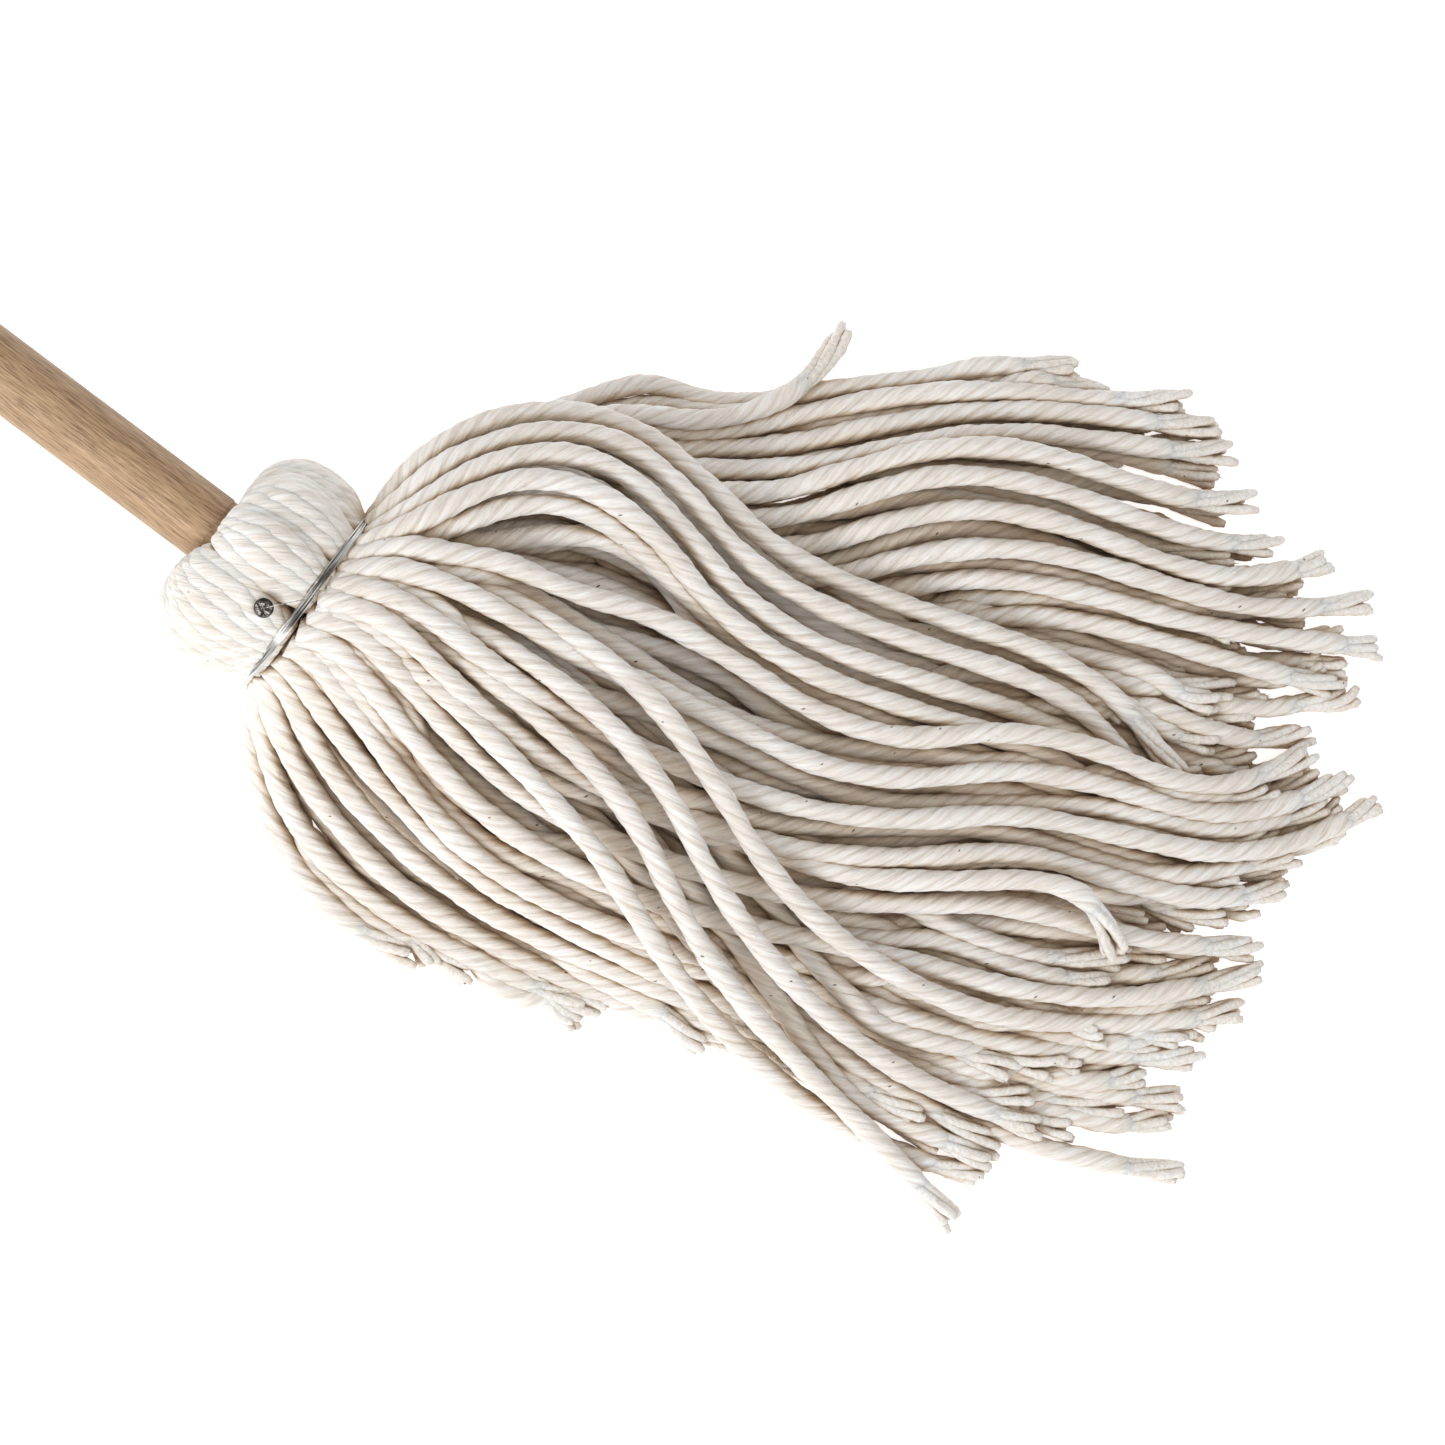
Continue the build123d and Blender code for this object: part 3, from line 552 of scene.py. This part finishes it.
def add_fibres(fabric, ply_line, radii, number):
    """Loose fibres that stick out of a ply near its end."""
    direction = ply_line[-1] - ply_line[-3]
    direction /= np.linalg.norm(direction)
    for _ in range(FIBRES):
        start_index = RANDOM.integers(len(ply_line) // 2, len(ply_line))
        bend = RANDOM.normal(0, 1, 3)
        bend -= direction * (bend @ direction)
        bend /= np.linalg.norm(bend)
        reach = RANDOM.uniform(*FIBRE_REACH)
        share = np.linspace(0, 1, 4)[:, None]
        strip = ply_line[start_index] + bend * radii[start_index] * 0.5
        strip = strip + direction * reach * share + bend * 0.0006 * share**2
        strip[:, 2] = np.maximum(strip[:, 2], 0.0004)
        lie = np.array([0.0, 0.0, number * LIE_SHIFT])
        fabric.add_ribbon(strip, np.cross(direction, bend), FIBRE_WIDTH, lie)


def add_lint(fabric, line, radii, step, number):
    """Short loose fibres along a yarn, which make its outline soft."""
    ahead, first, second = frames(line)
    places = RANDOM.integers(2, len(line) - 2, int(distances(line)[-1] / step))
    for place in places:
        angle = RANDOM.uniform(0, 2 * math.pi)
        out = first[place] * math.cos(angle) + second[place] * math.sin(angle)
        across = np.cross(ahead[place], out)
        lean = across * RANDOM.normal(0, 0.5) + ahead[place] * RANDOM.normal(0, 1.0)
        share = np.linspace(0, 1, 4)[:, None]
        reach = RANDOM.uniform(0.0004, LINT_OUT)
        strip = line[place] + out * radii[place] * LINT_ROOT
        strip = strip + out * (reach * share**0.6) + lean * LINT_LENGTH * share
        strip[:, 2] = np.maximum(strip[:, 2], 0.0003)
        lie = np.array([0.0, share[1, 0] * 0.001, number * LIE_SHIFT + place * 0.01])
        fabric.add_ribbon(strip, across, LINT_WIDTH, lie)


# The yarn under the separate ones


def scaled_layer(line, depth):
    """A line moved inwards and downwards from the one above it, to the share depth."""
    along = distances(line)
    near = np.exp(-((along / NECK_REACH) ** 2))[:, None]
    to_axis = line - TIE
    to_axis -= np.outer(to_axis @ STICK, STICK)
    in_neck = line - to_axis * (1 - depth) * PULLED_IN
    on_floor = line.copy()
    on_floor[:, 2] = REST_Z + (line[:, 2] - REST_Z) * (depth * SUNK)
    return in_neck * near + on_floor * (1 - near)


def between(one, other, share):
    """A line between two lines, point by point."""
    count = 60
    resampled = []
    for line in (one, other):
        along = distances(line)
        places = np.linspace(0, along[-1], count)
        resampled.append(np.stack([np.interp(places, along, line[:, axis]) for axis in range(3)], axis=1))
    return resampled[0] * (1 - share) + resampled[1] * share


def mass_lines(lines):
    """Lines for the rest of the yarn, between neighbouring routes and below them."""
    result = []
    for one, other, layers in MASS_PAIRS:
        for depth in layers:
            share = RANDOM.uniform(0.2, 0.8)
            line = between(lines[one], lines[other], share)
            line = evenly(line, MASS_STEP)
            keep = max(int(len(line) * RANDOM.uniform(0.86, 1.0)), 8)
            line = scaled_layer(line[:keep], depth * RANDOM.uniform(0.93, 1.07))
            along = distances(line)
            wave = along * 2 * math.pi / RANDOM.uniform(0.11, 0.2)
            wander = WANDER * np.sin(wave + RANDOM.uniform(0, 6))
            across = np.gradient(line, axis=0)
            across = np.stack([-across[:, 1], across[:, 0], 0 * across[:, 0]], axis=1)
            across /= np.maximum(np.linalg.norm(across, axis=1)[:, None], 1e-9)
            line += across * (wander * np.clip(along / 0.06, 0, 1))[:, None]
            result.append(line)
    return result


def settle(lines, fixed):
    """Moves the lines apart, down and away from the fixed ones, as soft yarn that lies in a heap."""
    points = np.concatenate(lines)
    owner = np.concatenate([np.full(len(line), number) for number, line in enumerate(lines)])
    order = np.concatenate([np.arange(len(line)) for line in lines])
    still = np.concatenate([evenly(line, MASS_STEP) for line in fixed])
    start = points.copy()
    ends = np.cumsum([0] + [len(line) for line in lines])
    for _ in range(SETTLE_ROUNDS):
        tree = kdtree.KDTree(len(points) + len(still))
        for index, point in enumerate(points):
            tree.insert(point, index)
        for index, point in enumerate(still):
            tree.insert(point, len(points) + index)
        tree.balance()
        push = np.zeros_like(points)
        for index, point in enumerate(points):
            for place, other, gap in tree.find_range(point, MASS_APART):
                if other == index or gap < 1e-7:
                    continue
                if other < len(points) and owner[other] == owner[index]:
                    continue
                share = 0.5 if other < len(points) else 0.9
                push[index] += (point - np.array(place)) / gap * (MASS_APART - gap) * share * 0.5
        size = np.linalg.norm(push, axis=1)[:, None]
        push *= np.minimum(1, 0.0012 / np.maximum(size, 1e-9))
        held = np.clip((order - 3) / 8, 0, 1)[:, None]
        points += push * held
        points[:, 2] -= 0.0004 * held[:, 0]
        for low, high in zip(ends[:-1], ends[1:]):
            points[low:high] = smoothed(points[low:high], 1)
        points += (start - points) * 0.03
        points[:, 2] = np.maximum(points[:, 2], 0.0034)
    return [points[low:high] for low, high in zip(ends[:-1], ends[1:])]




# The collar


def lobe_shape(angle):
    """(rise, fan, width, fullness) at an angle in degrees.

    rise is how high the lobe stands there, fan how far that is from its middle, and fullness its rise
    again if it is the big lobe.
    """
    for number, (middle, width) in enumerate(LOBES):
        off = (angle - middle + 180) % 360 - 180
        if abs(off) <= width / 2:
            rise = math.cos(math.pi * off / width) ** 0.5
            return rise, off / (width / 2), width, rise * (number == BIG_LOBE)
    return 0.0, 0.0, 30.0, 0.0


def collar_line(angle, inward):
    """The middle line of the loop at that angle in degrees from the top, towards +Y."""
    rise, fan, width, fullness = lobe_shape(angle)
    points = []
    for along, radius in LOOP_PROFILE:
        bulge = max(0.0, -along / LOOP_WIDEST)
        if along <= -LOOP_WIDEST:
            bulge = min(1.0, (along + 0.036) / 0.012)
        bulge = max(bulge, 0)
        out = radius - LOBE_DIP * (1 - rise) * bulge - inward * max(min(1.0, -along / 0.01), 0)
        out += BIG_OUT * fullness * bulge
        back = along + inward * 0.6 * (along < -0.02)
        back -= BIG_BACK * fullness * min(1.0, max(0.0, -along / 0.03))
        to_nail = math.hypot(along - NAIL_AT[0], radius * math.radians(angle - NAIL_AT[1]))
        out -= NAIL_DIMPLE * math.exp(-((to_nail / 0.006) ** 2)) * (along > -0.03)
        turned = math.radians(angle - fan * width * 0.14 * (1 - bulge))
        points.append(TIE + STICK * back + (UP * math.cos(turned) + SIDE * math.sin(turned)) * out)
    return nurbs_line(points)


def build_collar(material):
    """Folded yarns side by side, in two layers."""
    fabric = Fabric()
    for layer, (count, radius, inward) in enumerate(LOOP_LAYERS):
        for number in range(count):
            angle = 360 * (number + RANDOM.uniform(-0.18, 0.18)) / count
            line = evenly(collar_line(angle, inward + RANDOM.uniform(0, 0.0009)), 0.0018)
            along = distances(line)
            scale = radius / (PLY_OUT + PLY_R) * (0.78 + 0.22 * np.clip(along / 0.012, 0, 1))
            scale *= 1 + 0.05 * np.sin(along * 300 + number)
            yarn = 200 + number + 50 * layer
            rings, lie, groove, _ = twisted_rings(line, along, scale, 20, yarn, COLLAR_RELIEF)
            fabric.add_tube(rings, lie, groove)
    collar = fabric.piece("folded_collar", material)
    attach(collar, "root")
    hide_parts(*[f"collar_loop_{number}" for number in range(1, 9)])

# Wire and nail


def build_wire(material):
    """The outer tie's turns, close together at the sides and loose on top, and its tail to the nail."""
    low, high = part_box("binding_nail")
    nail_top = np.array([(low[0] + high[0]) / 2, 0.0, high[2]])
    nail_top[1] = low[1] + 0.0030
    fabric = Fabric()
    turns = np.linspace(0, WIRE_TURNS, WIRE_TURNS * 72 + 1)
    angles = turns * 2 * math.pi
    pitch = WIRE_PITCH + WIRE_LOOSE * np.clip(np.cos(angles), 0, 1) ** 2
    offset = (turns - WIRE_TURNS / 2) * pitch
    radius = BAND_R + 0.0005 * np.sin(angles * 0.37 + 1.0) ** 2
    line = TIE + np.outer(offset, STICK)
    line = line + np.outer(np.cos(angles) * radius, UP) + np.outer(np.sin(angles) * radius, SIDE)
    line = smoothed(line, 2)
    rings = round_rings(line, np.full(len(line), WIRE_R), 8)
    fabric.add_tube(rings, rings, np.zeros(rings.shape[:2]))
    start_angle = math.radians(-4)
    outwards = UP * math.cos(start_angle) + SIDE * math.sin(start_angle)
    start = TIE - STICK * 0.001 + outwards * (BAND_R + 0.0006)
    neck = nail_top - UP * 0.0005
    rise = start * 0.6 + neck * 0.4 + UP * 0.0022
    fall = start * 0.25 + neck * 0.75 + UP * 0.0017
    tail = evenly(nurbs_line([start, rise, fall, neck]), 0.001)
    rings = round_rings(tail, np.full(len(tail), WIRE_R * WIRE_TAIL_SHARE), 8)
    fabric.add_tube(rings, rings, np.zeros(rings.shape[:2]))
    wire = fabric.piece("tie_winding", material)
    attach(wire, "root")
    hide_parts("outer_wire_tie")


# Materials


def new_material(name):
    """(nodes, links, shader, material) of a new material."""
    material = bpy.data.materials.new(name)
    material.use_nodes = True
    nodes = material.node_tree.nodes
    return nodes, material.node_tree.links, nodes["Principled BSDF"], material


def add_node(nodes, kind, **values):
    """A node with its properties and inputs set by name."""
    node = nodes.new(kind)
    for name, value in values.items():
        if name in node.inputs:
            node.inputs[name].default_value = value
        else:
            setattr(node, name, value)
    return node


def ramp(nodes, stops):
    """A colour ramp with these (place, colour) stops."""
    node = nodes.new("ShaderNodeValToRGB")
    while len(node.color_ramp.elements) < len(stops):
        node.color_ramp.elements.new(0.5)
    for element, (place, colour) in zip(node.color_ramp.elements, stops):
        element.position = place
        element.color = colour
    return node


def mix_colour(nodes, links, blend, factor, one, other):
    """The output of a colour mix. factor, one and other are sockets or plain values."""
    node = nodes.new("ShaderNodeMix")
    node.data_type = "RGBA"
    node.blend_type = blend
    for socket, value in ((node.inputs[0], factor), (node.inputs[6], one), (node.inputs[7], other)):
        if isinstance(value, bpy.types.NodeSocket):
            links.new(value, socket)
        else:
            socket.default_value = value
    return node.outputs[2]


def cotton(name, painted_groove_shade):
    """Undyed cotton: pale fibres that run along the plies, with a few dark specks, and painted shade: brown
    in the grooves between the plies, and warm brown where ambient occlusion finds the yarn hidden among
    other yarns.
    """
    nodes, links, shader, material = new_material(name)
    lie = add_node(nodes, "ShaderNodeAttribute", attribute_name="lie")
    groove = add_node(nodes, "ShaderNodeAttribute", attribute_name="groove")

    stretch = add_node(nodes, "ShaderNodeMapping")
    stretch.inputs["Scale"].default_value = (1800, 1800, 190)
    links.new(lie.outputs["Vector"], stretch.inputs["Vector"])
    fibres = add_node(nodes, "ShaderNodeTexNoise", Scale=1.0, Detail=4.0, Roughness=0.65)
    links.new(stretch.outputs[0], fibres.inputs["Vector"])

    place = add_node(nodes, "ShaderNodeTexCoord")
    clouds = add_node(nodes, "ShaderNodeTexNoise", Scale=38.0, Detail=3.0)
    links.new(place.outputs["Object"], clouds.inputs["Vector"])

    pale = ramp(nodes, [(0.3, (0.80, 0.765, 0.73, 1)), (0.66, (0.92, 0.905, 0.89, 1))])
    links.new(fibres.outputs["Fac"], pale.inputs["Fac"])
    drift = ramp(nodes, [(0.35, (0.93, 0.90, 0.86, 1)), (0.65, (1, 1, 1, 1))])
    links.new(clouds.outputs["Fac"], drift.inputs["Fac"])
    colour = mix_colour(nodes, links, "MULTIPLY", 1.0, pale.outputs["Color"], drift.outputs["Color"])

    tuft_place = add_node(nodes, "ShaderNodeMapping")
    tuft_place.inputs["Scale"].default_value = (620, 620, 80)
    links.new(lie.outputs["Vector"], tuft_place.inputs["Vector"])
    tufts = add_node(nodes, "ShaderNodeTexNoise", Scale=1.0, Detail=3.0, Roughness=0.6)
    links.new(tuft_place.outputs[0], tufts.inputs["Vector"])
    worn = ramp(nodes, [(0.34, (0.86, 0.83, 0.79, 1)), (0.6, (1, 1, 1, 1))])
    links.new(tufts.outputs["Fac"], worn.inputs["Fac"])
    colour = mix_colour(nodes, links, "MULTIPLY", 1.0, colour, worn.outputs["Color"])

    # Painted shade: the colour is mixed towards brown in the grooves between the plies, more where a groove
    # is deeper.
    depth = ramp(nodes, [(0.35, (0, 0, 0, 1)), (1.0, (painted_groove_shade,) * 3 + (1,))])
    links.new(groove.outputs["Fac"], depth.inputs["Fac"])
    colour = mix_colour(nodes, links, "MIX", depth.outputs["Color"], colour, (0.40, 0.29, 0.19, 1))

    speck_place = add_node(nodes, "ShaderNodeMapping")
    speck_place.inputs["Scale"].default_value = (260, 260, 170)
    links.new(lie.outputs["Vector"], speck_place.inputs["Vector"])
    specks = add_node(nodes, "ShaderNodeTexVoronoi", Scale=1.0)
    links.new(speck_place.outputs[0], specks.inputs["Vector"])
    near = add_node(nodes, "ShaderNodeMath", operation="LESS_THAN")
    near.inputs[1].default_value = 0.1
    links.new(specks.outputs["Distance"], near.inputs[0])
    split = add_node(nodes, "ShaderNodeSeparateColor")
    links.new(specks.outputs["Color"], split.inputs[0])
    chosen = add_node(nodes, "ShaderNodeMath", operation="GREATER_THAN")
    chosen.inputs[1].default_value = 0.88
    links.new(split.outputs[0], chosen.inputs[0])
    both = add_node(nodes, "ShaderNodeMath", operation="MULTIPLY")
    links.new(near.outputs[0], both.inputs[0])
    links.new(chosen.outputs[0], both.inputs[1])
    colour = mix_colour(nodes, links, "MIX", both.outputs[0], colour, (0.16, 0.10, 0.06, 1))
    # Painted shade: the colour is darkened towards warm brown where ambient occlusion finds the yarn hidden,
    # in the gaps between yarns and under them.
    painted_shade_occlusion = add_node(nodes, "ShaderNodeAmbientOcclusion", Distance=0.012, samples=4)
    shade = ramp(
        nodes,
        [(0.1, (0.38, 0.23, 0.11, 1)), (0.45, (0.84, 0.71, 0.54, 1)), (0.73, (1, 1, 1, 1))],
    )
    links.new(painted_shade_occlusion.outputs["AO"], shade.inputs["Fac"])
    colour = mix_colour(nodes, links, "MULTIPLY", 1.0, colour, shade.outputs["Color"])
    links.new(colour, shader.inputs["Base Color"])

    coarse = add_node(nodes, "ShaderNodeBump", Strength=0.8, Distance=0.0012)
    links.new(tufts.outputs["Fac"], coarse.inputs["Height"])
    bump = add_node(nodes, "ShaderNodeBump", Strength=0.6, Distance=0.0006)
    links.new(fibres.outputs["Fac"], bump.inputs["Height"])
    links.new(coarse.outputs["Normal"], bump.inputs["Normal"])
    links.new(bump.outputs["Normal"], shader.inputs["Normal"])
    shader.inputs["Roughness"].default_value = 0.95
    shader.inputs["Specular IOR Level"].default_value = 0.12
    shader.inputs["Sheen Weight"].default_value = 0.25
    shader.inputs["Sheen Roughness"].default_value = 0.6
    shader.inputs["Subsurface Weight"].default_value = 0.25
    shader.inputs["Subsurface Radius"].default_value = (1.0, 0.62, 0.38)
    shader.inputs["Subsurface Scale"].default_value = 0.0022
    return material


def wood():
    """Plain light wood, turned and sanded, with a fine dark grain along the stick."""
    nodes, links, shader, material = new_material("sanded_wood")
    place = add_node(nodes, "ShaderNodeTexCoord")
    stretch = add_node(nodes, "ShaderNodeMapping")
    stretch.inputs["Scale"].default_value = (110, 2300, 2300)
    links.new(place.outputs["Object"], stretch.inputs["Vector"])
    grain = add_node(nodes, "ShaderNodeTexNoise", Scale=1.0, Detail=5.0, Roughness=0.7)
    links.new(stretch.outputs[0], grain.inputs["Vector"])
    wide = add_node(nodes, "ShaderNodeMapping")
    wide.inputs["Scale"].default_value = (3, 120, 120)
    links.new(place.outputs["Object"], wide.inputs["Vector"])
    rings = add_node(nodes, "ShaderNodeTexNoise", Scale=1.0, Detail=2.0)
    links.new(wide.outputs[0], rings.inputs["Vector"])
    tone = ramp(
        nodes,
        [(0.36, (0.15, 0.085, 0.045, 1)), (0.5, (0.38, 0.25, 0.145, 1)), (0.72, (0.55, 0.40, 0.26, 1))],
    )
    links.new(grain.outputs["Fac"], tone.inputs["Fac"])
    broad = ramp(nodes, [(0.3, (0.80, 0.74, 0.66, 1)), (0.7, (1.08, 1.05, 1.0, 1))])
    links.new(rings.outputs["Fac"], broad.inputs["Fac"])
    colour = mix_colour(nodes, links, "MULTIPLY", 1.0, tone.outputs["Color"], broad.outputs["Color"])
    links.new(colour, shader.inputs["Base Color"])
    bump = add_node(nodes, "ShaderNodeBump", Strength=0.35, Distance=0.0003)
    links.new(grain.outputs["Fac"], bump.inputs["Height"])
    links.new(bump.outputs["Normal"], shader.inputs["Normal"])
    shader.inputs["Roughness"].default_value = 0.55
    return material


def metal(name, colour, roughness, mark_and_shade_scale, bump_depth, dark):
    """Metal, slightly scratched or hammer-marked, with dark parts down to that share of its colour: a random
    darker tone on the nail, and painted shade between the turns on the wire.
    """
    nodes, links, shader, material = new_material(name)
    place = add_node(nodes, "ShaderNodeTexCoord")
    stretch = add_node(nodes, "ShaderNodeMapping")
    stretch.inputs["Scale"].default_value = mark_and_shade_scale
    links.new(place.outputs["Object"], stretch.inputs["Vector"])
    marks_and_shade = add_node(nodes, "ShaderNodeTexNoise", Scale=1.0, Detail=2.0)
    links.new(stretch.outputs[0], marks_and_shade.inputs["Vector"])
    # On the wire the dark parts come in bands from turn to turn along the stick: painted shade between the
    # turns.
    tone = ramp(nodes, [(0.4, tuple(dark * c for c in colour) + (1,)), (0.56, tuple(colour) + (1,))])
    links.new(marks_and_shade.outputs["Fac"], tone.inputs["Fac"])
    links.new(tone.outputs["Color"], shader.inputs["Base Color"])
    bump = add_node(nodes, "ShaderNodeBump", Strength=0.8, Distance=bump_depth)
    links.new(marks_and_shade.outputs["Fac"], bump.inputs["Height"])
    links.new(bump.outputs["Normal"], shader.inputs["Normal"])
    shader.inputs["Metallic"].default_value = 1.0
    shader.inputs["Roughness"].default_value = roughness
    return material


def paint(node, material):
    """Gives a CAD node that stays its material."""
    mesh = frame["nodes"][node].data
    mesh.materials.clear()
    mesh.materials.append(material)


# Camera, light and floor


def add_camera():
    """Almost straight above the head, turned so that the handle comes in from the upper left."""
    place = Vector(CAMERA_PLACE)
    forward = (Vector(CAMERA_TARGET) - place).normalized()
    level = forward.cross(Vector((0, 1, 0))).normalized()
    upright = level.cross(forward)
    roll = math.radians(CAMERA_ROLL)
    right = level * math.cos(roll) + upright * math.sin(roll)
    up = upright * math.cos(roll) - level * math.sin(roll)
    camera = bpy.data.objects.new("camera", bpy.data.cameras.new("camera"))
    camera.matrix_world = Matrix((right, up, -forward)).transposed().to_4x4()
    camera.matrix_world.translation = place
    camera.data.lens = CAMERA_LENS
    camera.data.sensor_width = 36
    camera.data.clip_start = 0.05
    bpy.context.scene.collection.objects.link(camera)
    bpy.context.scene.camera = camera


def add_light(name, place, target, size, power):
    """A square soft light aimed at a point."""
    lamp = bpy.data.lights.new(name, "AREA")
    lamp.shape = "SQUARE"
    lamp.size = size
    lamp.energy = power
    light = bpy.data.objects.new(name, lamp)
    light.location = place
    light.rotation_euler = (Vector(target) - Vector(place)).to_track_quat("-Z", "Y").to_euler()
    bpy.context.scene.collection.objects.link(light)


def add_floor():
    """A large pale floor just under the mop."""
    mesh = bpy.data.meshes.new("floor")
    mesh.from_pydata([(-4, -4, 0), (5, -4, 0), (5, 4, 0), (-4, 4, 0)], [], [(0, 1, 2, 3)])
    nodes, links, shader, material = new_material("floor_white")
    shader.inputs["Base Color"].default_value = (0.92, 0.92, 0.92, 1)
    shader.inputs["Roughness"].default_value = 0.9
    shader.inputs["Emission Color"].default_value = (1, 1, 1, 1)
    shader.inputs["Emission Strength"].default_value = 0.7
    mesh.materials.append(material)
    floor = bpy.data.objects.new("floor", mesh)
    floor.location.z = FLOOR_Z
    bpy.context.scene.collection.objects.link(floor)


def add_world():
    """Even white surroundings."""
    world = bpy.data.worlds.new("studio")
    world.use_nodes = True
    world.node_tree.nodes["Background"].inputs["Color"].default_value = (1, 1, 1, 1)
    world.node_tree.nodes["Background"].inputs["Strength"].default_value = WORLD_STRENGTH
    bpy.context.scene.world = world


# The mop

bpy.context.scene.view_settings.view_transform = "Standard"
add_camera()
add_world()
add_floor()
add_light("key", (HEAD_X - 0.15, -1.1, 1.0), LIGHT_TARGET, 0.6, 12.5)
add_light("top", (HEAD_X + 0.2, 0.1, 1.9), LIGHT_TARGET, 0.8, 6)

yarn_cotton = cotton("yarn_cotton", 0.26)
lines = {
    name: nurbs_line([(HEAD_X + x, y, z) for x, y, z in route])
    for name, route in YARN_ROUTES.items()
}
for number, (name, line) in enumerate(lines.items()):
    fabric = Fabric()
    add_yarn(fabric, line, RING_POINTS, RING_STEP, number, LINT_STEP)
    piece = fabric.piece(f"strand_{name}", yarn_cotton)
    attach(piece, "root")
    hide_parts(f"yarn_{name}")

settled = settle(mass_lines(lines), list(lines.values()))
for group in range(MASS_PIECES):
    fabric = Fabric()
    for number in range(group, len(settled), MASS_PIECES):
        add_yarn(fabric, settled[number], MASS_RING_POINTS, MASS_RING_STEP, 40 + number, MASS_LINT_STEP)
    piece = fabric.piece(f"yarn_mass_{group + 1}", yarn_cotton)
    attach(piece, "root")
    if group == 0:
        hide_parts("yarn_bundle_middle", "yarn_bundle_right", "yarn_bundle_lower", "yarn_neck_core")

collar_cotton = cotton("collar_cotton", 0.15)
build_collar(collar_cotton)
paint("inner_yarn_layer", collar_cotton)

# Its dark bands from turn to turn are painted shade between the turns.
bright_wire = metal("bright_wire", (0.86, 0.86, 0.85), 0.2, (2600, 70, 70), 0.00005, 0.1)
build_wire(bright_wire)
paint("inner_wire_tie", bright_wire)
dark_steel = metal("dark_steel", (0.085, 0.08, 0.075), 0.25, (420, 420, 420), 0.0010, 0.4)
paint("binding_nail", dark_steel)
paint("inner_nail", dark_steel)
paint("handle", wood())
